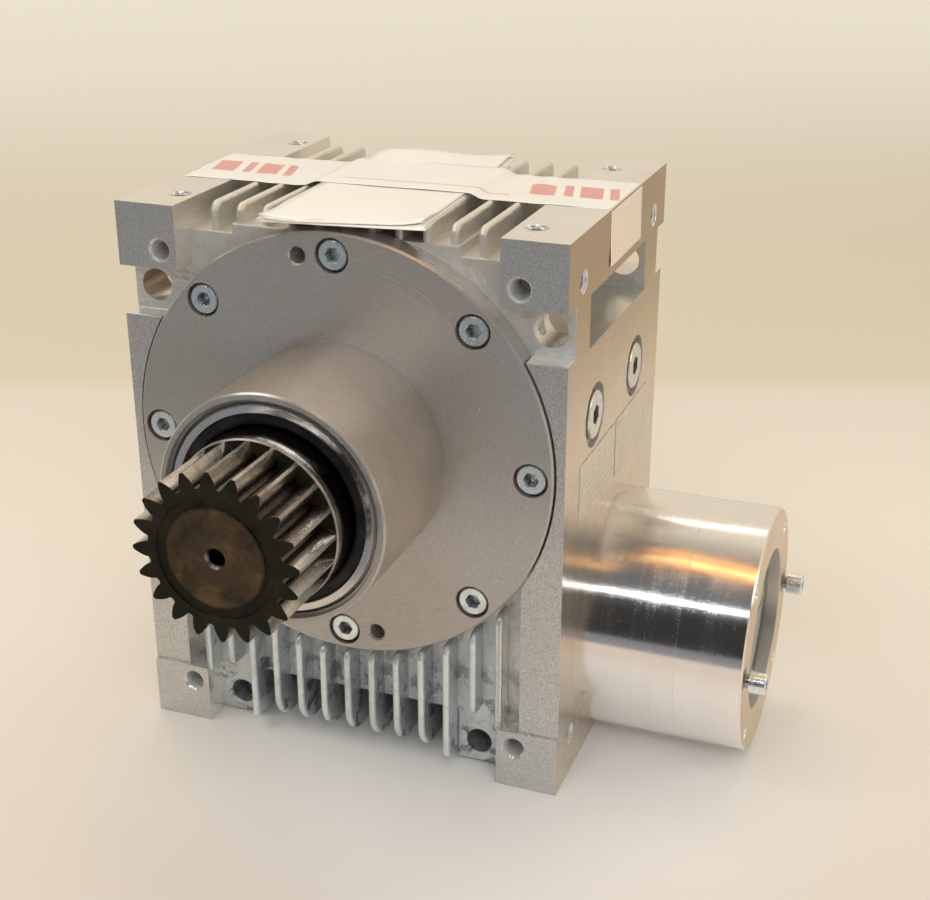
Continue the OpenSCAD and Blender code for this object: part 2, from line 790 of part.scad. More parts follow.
module motor_flange() {
    color([0.86, 0.85, 0.84]) difference() {
        x_turned([
            [pilot_r + 0.5, joint_x], [adaptor_r - seam, joint_x], [adaptor_r, joint_x + seam],
            [adaptor_r, adaptor_end_x - edge], [adaptor_r - edge, adaptor_end_x],
            [pilot_r + 0.3, adaptor_end_x], [pilot_r, adaptor_end_x - 0.3],
            [pilot_r, adaptor_end_x - pilot_len], [pilot_r + 0.5, adaptor_end_x - pilot_len]
        ]);
        on_worm_circle(motor_circle_r, 4, 45)
            translate([adaptor_end_x, 0, 0]) rotate([0, 90, 0]) tapped_hole(2.5, 14, 0.6);
        on_worm_circle(motor_screw_r, 2) x_cyl(m6_r, joint_x - 1, adaptor_end_x + 1);
    }
}

module motor_screws() {
    color([0.8, 0.8, 0.78]) on_worm_circle(motor_screw_r, 2)
        translate([adaptor_end_x + motor_screw_proud, 0, 0]) rotate([0, 90, 0])
            cap_screw(m6_r, motor_flange_len + motor_screw_proud + 8, m6_head_r, motor_screw_head_h, m6_key);
}

module on_plugs() {
    for (sx = [-1, 1], sy = [-1, 1])
        translate([sx * (half_w - plug_well), sy * plug_y, plug_z]) rotate([0, sx * 90, 0]) children();
}

module oil_plugs() {
    washer_t = 1;
    head_h = 3.4;
    color([0.72, 0.73, 0.72]) on_plugs() difference() {
        union() {
            translate([0, 0, washer_t]) rotate_extrude() polygon([
                [0, 0], [plug_r, 0], [plug_r, head_h - 0.6], [plug_r - 0.6, head_h], [0, head_h]
            ]);
            translate([0, 0, -10]) cylinder(h = 10 + washer_t + eps, r = plug_thread_r);
        }
        translate([0, 0, -4]) cylinder(h = 12, r = plug_key / 2 / cos(30), $fn = 6);
    }
}

module oil_plug_washers() {
    color([0.75, 0.5, 0.3]) on_plugs() difference() {
        cylinder(h = 1, r = plug_r + 0.8);
        translate([0, 0, -1]) cylinder(h = 3, r = plug_thread_r + 0.1);
    }
}

module type_plate() {
    color([0.8, 0.79, 0.77]) {
        block([half_w, -53, 123.5], [half_w + plate_t, -1, 149]);
        block([half_w, 3, 121.5], [half_w + plate_t, 56, 149]);
    }
}

// Tape laid over the sleeve and folded down the motor side
module packing_tape() {
    over = sleeve_t + 0.2;
    drop = 24.5;
    left = -half_w + 2;
    color([0.93, 0.9, 0.86]) translate([0, 2 + tape_w / 2, 0]) rotate([90, 0, 0])
        linear_extrude(height = tape_w) polygon([
            [left, body_h], [-sleeve_half - 5, body_h], [-sleeve_half, body_h + over],
            [sleeve_half, body_h + over], [sleeve_half + 5, body_h], [half_w, body_h],
            [half_w, body_h - drop], [half_w + tape_t, body_h - drop],
            [half_w + tape_t, body_h + tape_t], [sleeve_half + 5, body_h + tape_t],
            [sleeve_half, body_h + over + tape_t], [-sleeve_half, body_h + over + tape_t],
            [-sleeve_half - 5, body_h + tape_t], [left, body_h + tape_t]
        ]);
}

module document_sleeve() {
    color([0.95, 0.93, 0.9]) translate([sleeve_x, sleeve_y, body_h + 0.05]) rotate(sleeve_turn)
        translate([-sleeve_w / 2, -sleeve_l / 2, 0]) cube([sleeve_w, sleeve_l, sleeve_t]);
}

// Involute gear outline: teeth at 0, 360/n, ...; a tooth's half angle at the pitch circle is given
function inv_deg(a) = tan(a) * 180 / PI - a;
function polar(r, a) = [r * cos(a), r * sin(a)];
function flank_angle(r, rb, rp, half) =
    half + inv_deg(acos(rb / rp)) - inv_deg(acos(min(1, rb / r)));
function tooth(c, rb, rp, r_root, r_tip, half, n, steps) =
    let (r_low = max(rb, r_root + 0.3),
         pitch = 360 / n,
         foot = min(flank_angle(r_low, rb, rp, half) + 0.12 * pitch, 0.47 * pitch))
    concat(
        [polar(r_root, c - foot)],
        [for (i = [0 : steps]) let (r = r_low + (r_tip - r_low) * i / steps)
            polar(r, c - flank_angle(r, rb, rp, half))],
        [for (i = [steps : -1 : 0]) let (r = r_low + (r_tip - r_low) * i / steps)
            polar(r, c + flank_angle(r, rb, rp, half))],
        [polar(r_root, c + foot)]
    );
function gear_outline(n, rp, r_root, r_tip, half, steps) =
    let (rb = rp * cos(pressure_angle))
    [for (i = [0 : n - 1]) each tooth(i * 360 / n, rb, rp, r_root, r_tip, half, n, steps)];

pinion_r = pinion_module * pinion_teeth / 2;
pinion_tip_r = pinion_r + pinion_module * (1 + pinion_shift);
pinion_root_r = pinion_r - pinion_module * (1.25 - pinion_shift);
pinion_half_tooth = 90 / pinion_teeth
    + 2 * pinion_shift * tan(pressure_angle) / pinion_teeth * 180 / PI;
pinion_phase = 1.5;

module pinion_shaft() {
    rear = rear_brg_y + rear_brg_w;
    recess_r = 20.5;
    color([0.25, 0.2, 0.17]) difference() {
        union() {
            translate([0, pinion_y, output_z]) rotate([-90, 0, 0]) rotate(-pinion_phase)
                linear_extrude(height = pinion_len) polygon(gear_outline(
                    pinion_teeth, pinion_r, pinion_root_r, pinion_tip_r, pinion_half_tooth, 5));
            y_turned([
                [0, pinion_y + 4], [pinion_root_r - 1, pinion_y + 4], [pinion_root_r - 1, collar_y],
                [collar_r - 0.6, collar_y], [collar_r, collar_y + 0.6],
                [collar_r, front_brg_y], [front_brg[0], front_brg_y],
                [front_brg[0], front_brg_y + front_brg_w], [shaft_mid_r, front_brg_y + front_brg_w],
                [shaft_mid_r, -hub_half], [hub_seat_r, -hub_half], [hub_seat_r, hub_half],
                [rear_step_r, hub_half], [rear_step_r, rear_brg_y], [rear_brg[0], rear_brg_y],
                [rear_brg[0], rear], [ring_groove_r, rear], [ring_groove_r, rear + 2.2],
                [rear_brg[0], rear + 2.2], [rear_brg[0], shaft_end_y - 1],
                [rear_brg[0] - 1, shaft_end_y], [0, shaft_end_y]
            ]);
        }
        // Shallow turned ring between the teeth and the raised end disc
        y_ring(pinion_root_r - 3.2, recess_r, pinion_y - 1, pinion_y + 0.8);
        // Centre hole with its lead-in, tapped at the bottom
        y_cyl(centre_hole_r, pinion_y - 1, pinion_y + 24, z = output_z);
        y_turned([
            [0, pinion_y - eps], [4.4, pinion_y - eps],
            [centre_hole_r, pinion_y + 1.6], [0, pinion_y + 1.6]
        ]);
        // Keyway under the worm wheel
        block([-key_w / 2, -key_half, output_z + key_low], [key_w / 2, key_half, output_z + key_high]);
    }
}

module wheel_key() {
    color([0.6, 0.6, 0.62]) block([-key_w / 2, -key_half, output_z + key_low],
        [key_w / 2, key_half, output_z + key_high]);
}

module wheel_hub() {
    web_half = 8;
    color([0.5, 0.5, 0.52]) difference() {
        y_turned([
            [hub_seat_r, -hub_half], [hub_boss_r, -hub_half], [hub_boss_r, -web_half],
            [hub_r - 8, -web_half], [hub_r - 8, -wheel_face / 2], [hub_r, -wheel_face / 2],
            [hub_r, wheel_face / 2], [hub_r - 8, wheel_face / 2], [hub_r - 8, web_half],
            [hub_boss_r, web_half], [hub_boss_r, hub_half], [hub_seat_r, hub_half]
        ]);
        block([-key_w / 2, -hub_half - 1, output_z + hub_seat_r - 2],
            [key_w / 2, hub_half + 1, output_z + key_high]);
    }
}

// Wheel teeth follow the worm's lead; a gap faces straight down onto the worm
module worm_wheel_rim() {
    half = (axial_pitch / 2 - backlash / 2) / 2 / wheel_r * 180 / PI;
    color([0.75, 0.55, 0.25]) difference() {
        translate([0, 0, output_z]) rotate([-90, 0, 0])
            linear_extrude(height = wheel_face, center = true, twist = -wheel_twist, slices = 6)
                rotate(180 / wheel_teeth - wheel_twist / 2)
                    polygon(gear_outline(wheel_teeth, wheel_r, wheel_root_r, wheel_tip_r, half, 3));
        y_cyl(hub_r, -wheel_face, wheel_face, z = output_z);
    }
}

module output_front_spacer() {
    color([0.6, 0.6, 0.62]) y_ring(34, shaft_mid_r, front_brg_y + front_brg_w, -hub_half);
}

module output_rear_spacer() {
    color([0.6, 0.6, 0.62]) y_ring(32, rear_step_r, hub_half, rear_brg_y);
}

module output_retaining_ring() {
    y = rear_brg_y + rear_brg_w;
    color([0.35, 0.35, 0.36]) difference() {
        y_ring(29, ring_groove_r, y, y + 2);
        block([-5, y - 1, output_z - 40], [5, y + 3, output_z]);
    }
}

// Worm thread: one slice across the axis, turned along the lead
worm_half_axial = axial_pitch / 4 - backlash / 4;
function thread_r(a) =
    let (x = abs((a * worm_starts + 180) % 360 - 180) / 360 * axial_pitch,
         r = worm_pitch_r + (worm_half_axial - x) / tan(pressure_angle))
    min(worm_tip_r, max(worm_root_r, r));

module worm_shaft() {
    steps = 36;
    turn = worm_len / lead * 360;
    color([0.55, 0.56, 0.58]) {
        on_worm(0) linear_extrude(height = worm_len, center = true, twist = -turn,
                                  slices = ceil(turn / 11), segments = steps)
            polygon([for (i = [0 : steps - 1]) let (a = i * 360 / steps)
                polar(thread_r(a), a + 180 - turn / 2)]);
        x_turned([
            [0, end_brg_x - 5], [end_brg[0] - 1, end_brg_x - 5], [end_brg[0], end_brg_x - 4],
            [end_brg[0], end_brg_x - 1.8], [end_brg[0] - 1, end_brg_x - 1.8], [end_brg[0] - 1, end_brg_x],
            [end_brg[0], end_brg_x], [end_brg[0], end_brg_x + end_brg_w], [18, end_brg_x + end_brg_w],
            [18, -shaft_shoulder_x], [worm_root_r - 0.5, -worm_len / 2 + 1], [0, -worm_len / 2 + 1]
        ]);
        x_turned([
            [0, worm_len / 2 - 1], [worm_root_r - 0.5, worm_len / 2 - 1], [20.5, shaft_shoulder_x],
            [20.5, drive_brg_x], [drive_brg[0], drive_brg_x], [drive_brg[0], coupling_seat_x],
            [coupling_seat_r, coupling_seat_x], [coupling_seat_r, shaft_tip_x - 1],
            [coupling_seat_r - 1, shaft_tip_x], [0, shaft_tip_x]
        ]);
    }
}

module worm_end_retaining_ring() {
    color([0.35, 0.35, 0.36]) difference() {
        x_ring(19, end_brg[0] - 1, end_brg_x - 1.7, end_brg_x);
        block([end_brg_x - 3, -3, worm_z - 25], [end_brg_x + 1, 3, worm_z]);
    }
}

module worm_lock_nut() {
    color([0.4, 0.4, 0.42]) difference() {
        x_ring(nut_r, drive_brg[0], nut_x, nut_x + nut_w);
        for (a = [0 : 90 : 270]) translate([0, 0, worm_z]) rotate([a, 0, 0])
            block([nut_x - 1, -2.5, nut_r - 2.5], [nut_x + nut_w + 1, 2.5, nut_r + 1]);
    }
}

module coupling_hub() {
    end_x = coupling_x + coupling_len;
    color([0.7, 0.71, 0.72]) difference() {
        x_turned([
            [0, coupling_x], [coupling_r - 1, coupling_x], [coupling_r, coupling_x + 1],
            [coupling_r, end_x - 1], [coupling_r - 1, end_x], [0, end_x]
        ]);
        x_cyl(coupling_seat_r, coupling_x - 1, shaft_tip_x, z = worm_z);
        x_cyl(motor_shaft_r, shaft_tip_x - 1, end_x + 1, z = worm_z);
        // Clamping slot and the cross hole of the clamp screw
        block([shaft_tip_x + 6, 0, worm_z - 0.8], [end_x + 1, coupling_r + 1, worm_z + 0.8]);
        translate([clamp_screw_x, clamp_screw_y, worm_z - coupling_r]) cylinder(h = 2 * coupling_r, r = m6_r);
        translate([clamp_screw_x, clamp_screw_y, worm_z + 8]) cylinder(h = coupling_r, r = m6_head_r + 0.4);
    }
}

module coupling_screw() {
    color([0.25, 0.25, 0.26]) translate([clamp_screw_x, clamp_screw_y, worm_z + 8])
        cap_screw(m6_r, 20, m6_head_r, m6_head_h, m6_key);
}

housing();
output_flange();
output_flange_screws();
output_flange_o_ring();
output_seal_case();
output_seal_lip();
output_front_bearing_outer();
output_rear_bearing_outer();
rear_cover();
rear_cover_screws();
rear_cover_o_ring();
worm_end_cap();
worm_end_cap_screws();
worm_end_cap_o_ring();
worm_end_bearing_outer();
worm_drive_bearing_outer();
input_seal();
adaptor_housing();
adaptor_screws();
motor_flange();
motor_screws();
oil_plugs();
oil_plug_washers();
type_plate();
packing_tape();
document_sleeve();
pinion_shaft();
wheel_key();
wheel_hub();
worm_wheel_rim();
output_front_bearing_inner();
output_rear_bearing_inner();
output_front_spacer();
output_rear_spacer();
output_retaining_ring();
output_front_bearing_balls();
output_front_bearing_cage();
output_rear_bearing_balls();
output_rear_bearing_cage();
worm_shaft();
worm_end_bearing_inner();
worm_drive_bearing_inner();
worm_end_retaining_ring();
worm_lock_nut();
coupling_hub();
coupling_screw();
worm_end_bearing_balls();
worm_end_bearing_cage();
worm_drive_bearing_balls();
worm_drive_bearing_cage();
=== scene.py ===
import json
import math

import bpy
from mathutils import Matrix, Vector, noise

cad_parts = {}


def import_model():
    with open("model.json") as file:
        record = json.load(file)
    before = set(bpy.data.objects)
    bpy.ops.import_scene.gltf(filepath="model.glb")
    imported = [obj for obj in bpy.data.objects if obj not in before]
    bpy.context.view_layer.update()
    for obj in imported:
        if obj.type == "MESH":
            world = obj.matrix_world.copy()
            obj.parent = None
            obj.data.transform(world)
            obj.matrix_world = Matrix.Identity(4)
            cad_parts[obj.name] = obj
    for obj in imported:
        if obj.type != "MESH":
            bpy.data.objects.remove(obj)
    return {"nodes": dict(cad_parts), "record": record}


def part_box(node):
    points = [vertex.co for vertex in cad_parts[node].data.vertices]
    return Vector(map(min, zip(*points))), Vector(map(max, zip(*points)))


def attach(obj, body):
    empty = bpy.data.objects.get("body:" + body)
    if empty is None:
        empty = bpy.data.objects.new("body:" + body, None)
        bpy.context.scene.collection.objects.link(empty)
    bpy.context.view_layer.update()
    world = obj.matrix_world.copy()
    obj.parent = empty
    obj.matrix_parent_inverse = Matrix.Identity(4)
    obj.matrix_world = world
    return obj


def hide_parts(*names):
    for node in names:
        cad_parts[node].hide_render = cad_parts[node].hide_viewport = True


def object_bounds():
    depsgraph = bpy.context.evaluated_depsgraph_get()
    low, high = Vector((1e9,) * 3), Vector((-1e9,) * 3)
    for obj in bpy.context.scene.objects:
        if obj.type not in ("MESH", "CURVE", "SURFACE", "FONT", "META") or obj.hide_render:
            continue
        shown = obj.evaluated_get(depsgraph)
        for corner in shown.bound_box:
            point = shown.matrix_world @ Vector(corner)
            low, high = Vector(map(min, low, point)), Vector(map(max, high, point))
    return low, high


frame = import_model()

# A worm gearbox on a pale floor. Lengths are in metres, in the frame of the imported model:
# +X towards the motor adaptor, -Y towards the pinion, +Z up.
cad_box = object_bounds()
NODES = frame["nodes"]
MM = 0.001

housing_low, housing_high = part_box("housing")
flange_low, flange_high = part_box("output_flange")
adaptor_low, adaptor_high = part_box("motor_flange")
tape_low, tape_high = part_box("packing_tape")

OUTPUT_Z = (flange_low.z + flange_high.z) / 2
WORM_Z = (adaptor_low.z + adaptor_high.z) / 2
TOP = housing_high.z
RIGHT = housing_high.x
HALF_DEPTH = housing_high.y
# Inner faces of the edge rails, outer faces of the front and rear walls, spacing of the fins
RAIL_X = RIGHT - 28 * MM
WALL_Y = HALF_DEPTH - 11.5 * MM
FIN_PITCH = 12 * MM
# The tapped corner holes are 20 mm from the nearest faces in some faces and 21 mm in others
CORNER_HOLE_IN = 20.5 * MM
CORNER_HOLE_R = 5.1 * MM
BOSS_R = 49 * MM
BOSS_BACK = flange_low.y + 62.8 * MM
# Front face of the collar behind the pinion's teeth
COLLAR_Y = -151 * MM
ADAPTOR_BORE_R = 40 * MM


# ---------------------------------------------------------------- materials

class Graph:
    """A node tree, with short calls for the nodes used here."""

    def __init__(self, tree):
        self.tree = tree

    def add(self, kind, **settings):
        node = self.tree.nodes.new(kind)
        for key, value in settings.items():
            setattr(node, key, value)
        return node

    def put(self, socket, value):
        if hasattr(value, "links"):
            self.tree.links.new(value, socket)
        else:
            socket.default_value = value

    def math(self, operation, a, b=0.0, clamp=False):
        node = self.add("ShaderNodeMath", operation=operation, use_clamp=clamp)
        self.put(node.inputs[0], a)
        self.put(node.inputs[1], b)
        return node.outputs[0]

    def times(self, first, *others):
        for other in others:
            first = self.math("MULTIPLY", first, other)
        return first

    def plus(self, first, *others):
        for other in others:
            first = self.math("ADD", first, other)
        return first

    def length(self, a, b):
        """The diagonal of two lengths at right angles."""
        squares = self.plus(self.math("POWER", a, 2.0), self.math("POWER", b, 2.0))
        return self.math("SQRT", squares)

    def distance(self, value, middle):
        return self.math("ABSOLUTE", self.math("SUBTRACT", value, middle))

    def ramp(self, value, low, high, to_low=0.0, to_high=1.0, interpolation="SMOOTHSTEP"):
        node = self.add("ShaderNodeMapRange", interpolation_type=interpolation)
        for socket, given in zip(node.inputs, (value, low, high, to_low, to_high)):
            self.put(socket, given)
        return node.outputs[0]

    def split(self, vector):
        node = self.add("ShaderNodeSeparateXYZ")
        self.put(node.inputs[0], vector)
        return node.outputs

    def join(self, x, y, z):
        node = self.add("ShaderNodeCombineXYZ")
        for socket, given in zip(node.inputs, (x, y, z)):
            self.put(socket, given)
        return node.outputs[0]

    def mix(self, share, a, b):
        node = self.add("ShaderNodeMix", data_type="RGBA")
        self.put(node.inputs["Factor"], share)
        for socket, given in ((node.inputs["A"], a), (node.inputs["B"], b)):
            self.put(socket, given if hasattr(given, "links") else (*given, 1.0))
        return node.outputs["Result"]

    def blend(self, share, a, b):
        node = self.add("ShaderNodeMix", data_type="FLOAT")
        self.put(node.inputs["Factor"], share)
        self.put(node.inputs["A"], a)
        self.put(node.inputs["B"], b)
        return node.outputs["Result"]


class Look(Graph):
    """One material. A pattern without a vector of its own follows the object's coordinates."""

    def __init__(self, name, roughness=0.4, metallic=0.0):
        self.material = bpy.data.materials.new(name)
        self.material.use_nodes = True
        super().__init__(self.material.node_tree)
        self.shader = self.tree.nodes["Principled BSDF"]
        self.set("Roughness", roughness)
        self.set("Metallic", metallic)
        self.place = self.add("ShaderNodeTexCoord").outputs["Object"]

    def set(self, name, value):
        self.put(self.shader.inputs[name], value)

    def here(self):
        return self.split(self.place)

    def stretched(self, x, y, z):
        node = self.add("ShaderNodeMapping")
        self.put(node.inputs["Vector"], self.place)
        node.inputs["Scale"].default_value = (x, y, z)
        return node.outputs[0]

    def noise(self, scale, vector=None, detail=3.0, roughness=0.55, distortion=0.0):
        node = self.add("ShaderNodeTexNoise")
        self.put(node.inputs["Vector"], self.place if vector is None else vector)
        node.inputs["Scale"].default_value = scale
        node.inputs["Detail"].default_value = detail
        node.inputs["Roughness"].default_value = roughness
        node.inputs["Distortion"].default_value = distortion
        return node.outputs[0]

    def cells(self, scale):
        node = self.add("ShaderNodeTexVoronoi")
        self.put(node.inputs["Vector"], self.place)
        node.inputs["Scale"].default_value = scale
        return node.outputs["Distance"]

    def bump(self, height, depth, strength=1.0, normal=None):
        node = self.add("ShaderNodeBump")
        self.put(node.inputs["Height"], height)
        node.inputs["Distance"].default_value = depth
        node.inputs["Strength"].default_value = strength
        if normal is not None:
            self.put(node.inputs["Normal"], normal)
        return node.outputs[0]

    def rounded(self, radius):
        node = self.add("ShaderNodeBevel", samples=4)
        node.inputs["Radius"].default_value = radius
        return node.outputs[0]

    def open_to_light(self, reach):
        """1 in the open, less inside recesses that are narrower than the reach."""
        node = self.add("ShaderNodeAmbientOcclusion", samples=4)
        node.inputs["Distance"].default_value = reach
        return node.outputs["AO"]

    def facing(self):
        """How squarely the surface faces each of the three axes, from 0 to 1."""
        normal = self.split(self.add("ShaderNodeNewGeometry").outputs["Normal"])
        return [self.math("ABSOLUTE", value) for value in normal]

    def around(self, axis, height):
        """Distance from an axis along X or Y at that height, and the place along it."""
        x, y, z = self.here()
        across, along = (y, x) if axis == "X" else (x, y)
        return self.length(across, self.math("SUBTRACT", z, height)), along

    def rings(self, radius, along, per_metre, detail=3.0, seed=0.0):
        """Noise that changes only with the distance from an axis and the place along it."""
        vector = self.join(self.times(radius, per_metre), self.times(along, per_metre), seed)
        return self.noise(1.0, vector, detail)

    def along_rings(self, axis, amount):
        """Highlights drawn out across turning marks that run round an axis."""
        tangent = self.add("ShaderNodeTangent", direction_type="RADIAL", axis=axis)
        self.set("Anisotropic", amount)
        self.set("Anisotropic Rotation", 0.25)
        self.set("Tangent", tangent.outputs[0])


def shade(color, factor):
    return [c * factor for c in color]


def turned(name, axis, height, color, tint, roughness,
           warm=0.5, anisotropy=0.0, metallic=0.7, boss=False):
    """Metal from a lathe: fine rings about an axis and faint stains.

    With boss, the outside of the output flange's boss is browner and duller than the rest.
    """
    look = Look(name, roughness, metallic)
    radius, along = look.around(axis, height)
    turning = look.rings(radius, along, 3200.0, 2.0)
    bands = look.rings(radius, along, 260.0, 3.0, seed=3.0)
    stain = look.noise(14.0, None, 4.0, 0.6, 0.4)
    fine = look.noise(1400.0, None, 2.0)
    base = look.mix(look.ramp(stain, 0.35, 0.75, 0.0, warm), color, tint)
    rough = look.plus(
        roughness - 0.04,
        look.ramp(bands, 0.3, 0.7, 0.0, 0.03),
        look.ramp(stain, 0.4, 0.8, 0.0, 0.05),
    )
    if boss:
        outside = look.ramp(radius, BOSS_R - 0.2 * MM, BOSS_R - 0.1 * MM)
        on_boss = look.times(look.math("LESS_THAN", along, BOSS_BACK), outside)
        brown = look.mix(look.ramp(stain, 0.35, 0.7), (0.56, 0.46, 0.365), (0.37, 0.315, 0.26))
        base = look.mix(look.times(on_boss, 0.8), base, brown)
        rough = look.plus(rough, look.times(on_boss, 0.10))
    base = look.mix(look.ramp(turning, 0.3, 0.8, 0.0, 0.22), base, shade(color, 0.62))
    base = look.mix(look.ramp(fine, 0.42, 0.66, 0.0, 0.45), base, shade(color, 0.70))
    look.set("Base Color", base)
    look.set("Roughness", rough)
    if anisotropy:
        look.along_rings(axis, anisotropy)
    look.set("Normal", look.bump(bands, 0.002 * MM, 0.2, look.rounded(0.35 * MM)))
    return look.material


def machined_finish(look, front):
    """Colour, roughness and relief of the milled rails, columns and side faces."""
    x, y, z = look.here()
    fx = look.facing()[0]
    speckle = look.ramp(look.noise(2300.0, None, 3.0, 0.7), 0.42, 0.62)
    cloud = look.noise(22.0, None, 4.0, 0.6)
    color = look.mix(
        look.ramp(cloud, 0.35, 0.8, 0.0, 0.4), (0.87, 0.835, 0.78), (0.72, 0.675, 0.62))
    color = look.mix(look.times(front, 0.6), color, (0.56, 0.575, 0.57))
    speckled = look.times(speckle, look.blend(front, 0.16, 0.72))
    color = look.mix(speckled, color, (0.27, 0.28, 0.285))

    # The outer side faces are streaked, and carry painted reflection and shade: darker and browner
    # than the other milled faces, most towards the top
    streak = look.noise(30.0, look.stretched(1.0, 9.0, 0.35), 4.0, 0.6)
    smear = look.noise(34.0, look.stretched(1.0, 0.6, 1.6), 5.0, 0.65, 0.8)
    side = look.mix(
        look.ramp(streak, 0.42, 0.75, 0.0, 0.6), (0.66, 0.565, 0.465), (0.51, 0.43, 0.345))
    side = look.mix(look.ramp(smear, 0.45, 0.75, 0.0, 0.35), side, (0.74, 0.68, 0.60))
    side = look.mix(look.ramp(z, 0.14, 0.225, 0.0, 0.95), side, (0.38, 0.275, 0.19))
    across = look.math("ABSOLUTE", x)
    outside = look.ramp(across, RIGHT - 10 * MM, RIGHT - 6 * MM)
    color = look.mix(look.times(look.ramp(fx, 0.6, 0.9), outside), color, side)

    rough = look.plus(0.23, look.ramp(cloud, 0.3, 0.8, 0.0, 0.08), look.times(front, 0.09))
    grain = look.noise(1600.0, None, 2.0)
    mill = look.noise(1.0, look.join(0.0, look.times(y, 1100.0), look.times(z, 6.0)), 2.0)
    relief = look.plus(look.times(grain, 0.35), look.times(mill, fx, 0.5))
    return color, rough, relief


def raw_finish(look):
    """Colour, roughness and relief of the raw casting, which has dark blots near the floor."""
    x, y, z = look.here()
    fx = look.facing()[0]
    depth = look.math("ABSOLUTE", y)
    pits = look.cells(420.0)
    lumps = look.noise(160.0, None, 4.0, 0.65)
    stain = look.noise(45.0, look.stretched(1.0, 1.0, 0.6), 5.0, 0.7, 0.6)
    color = look.mix(
        look.ramp(stain, 0.40, 0.75, 0.0, 0.6), (0.80, 0.84, 0.83), (0.50, 0.535, 0.54))
    color = look.mix(look.ramp(lumps, 0.5, 0.75, 0.0, 0.4), color, (0.52, 0.53, 0.54))
    # Painted shade: faces that face along X, the sides of the fins, are darker and bluer
    color = look.mix(look.ramp(fx, 0.6, 0.9, 0.0, 0.55), color, (0.60, 0.64, 0.68))
    color = look.mix(look.ramp(z, 0.19, 0.22, 0.0, 0.7), color, (0.80, 0.75, 0.66))
    # Dark blots near the floor, weaker on the outer edges of the fins than further in
    blots = look.ramp(look.noise(95.0, None, 5.0, 0.7, 0.5), 0.50, 0.60, 0.0, 0.85)
    inside = look.ramp(depth, HALF_DEPTH - 2.5 * MM, HALF_DEPTH - 5 * MM, 0.12, 1.0)
    low_dark_blots = look.times(look.ramp(z, 0.075, 0.02), blots, inside)
    color = look.mix(low_dark_blots, color, (0.10, 0.11, 0.125))
    # Painted shade: between the lower fins the casting is darker the deeper it lies
    painted_recess_shade = look.ramp(depth, HALF_DEPTH - 5 * MM, HALF_DEPTH - 14 * MM)
    painted_recess_shade = look.times(painted_recess_shade, look.ramp(z, 0.11, 0.07), 0.36)
    color = look.mix(painted_recess_shade, color, (0.31, 0.345, 0.37))

    rough = look.plus(0.38, look.ramp(stain, 0.4, 0.8, 0.0, 0.18))
    relief = look.plus(look.times(lumps, 1.4), look.times(pits, 0.8))
    return color, rough, relief


def corner_holes(look):
    """1 inside the tapped holes near the corners of all six faces, and their threads' relief."""
    x, y, z = look.here()
    fx, fy, fz = look.facing()
    from_x = look.distance(look.math("ABSOLUTE", x), RIGHT - CORNER_HOLE_IN)
    from_y = look.distance(look.math("ABSOLUTE", y), HALF_DEPTH - CORNER_HOLE_IN)
    from_z = look.distance(look.distance(z, TOP / 2), TOP / 2 - CORNER_HOLE_IN)
    half_pitch = 0.75 * MM
    holes = threads = 0.0
    for first, second, along, face in (
        (from_x, from_z, y, fy), (from_y, from_z, x, fx), (from_x, from_y, z, fz)
    ):
        near = look.math("LESS_THAN", look.length(first, second), CORNER_HOLE_R)
        inside = look.times(near, look.ramp(face, 0.75, 0.85, 1.0, 0.0))
        holes = look.math("MAXIMUM", holes, inside)
        ridges = look.math("PINGPONG", look.math("DIVIDE", along, half_pitch), 1.0)
        threads = look.math("MAXIMUM", threads, look.times(inside, ridges))
    return holes, threads


def housing_metal():
    """The casting: machined rails and columns, rough cast fins and walls between them."""
    look = Look("cast_aluminium")
    x, y, z = look.here()
    front = look.ramp(look.facing()[1], 0.7, 0.9)
    # The raw casting shows between the rails, and on the walls behind the corner faces
    across = look.math("ABSOLUTE", x)
    depth = look.math("ABSOLUTE", y)
    between = look.ramp(across, RAIL_X - 0.5 * MM, RAIL_X - 0.1 * MM, 1.0, 0.0)
    wall = look.times(front, look.ramp(depth, WALL_Y + 1.5 * MM, WALL_Y + 2.5 * MM, 1.0, 0.0))
    cast = look.math("MAXIMUM", between, wall, True)

    machined, machined_rough, machined_relief = machined_finish(look, front)
    raw, raw_rough, raw_relief = raw_finish(look)
    holes, threads = corner_holes(look)
    look.set("Base Color", look.mix(holes, look.mix(cast, machined, raw), (0.72, 0.72, 0.70)))
    look.set("Metallic", look.blend(holes, 0.8, 0.55))
    rough = look.blend(cast, machined_rough, raw_rough)
    look.set("Roughness", look.blend(holes, rough, 0.22))

    relief = look.plus(
        look.times(machined_relief, 0.02 * MM),
        look.times(raw_relief, cast, 0.28 * MM),
        look.times(threads, 0.5 * MM),
    )
    edge = look.add("ShaderNodeMix", data_type="VECTOR")
    look.put(edge.inputs["Factor"], cast)
    look.put(edge.inputs[4], look.rounded(0.4 * MM))
    look.put(edge.inputs[5], look.rounded(0.9 * MM))
    look.set("Normal", look.bump(relief, 1.0, 1.0, edge.outputs[1]))
    return look.material


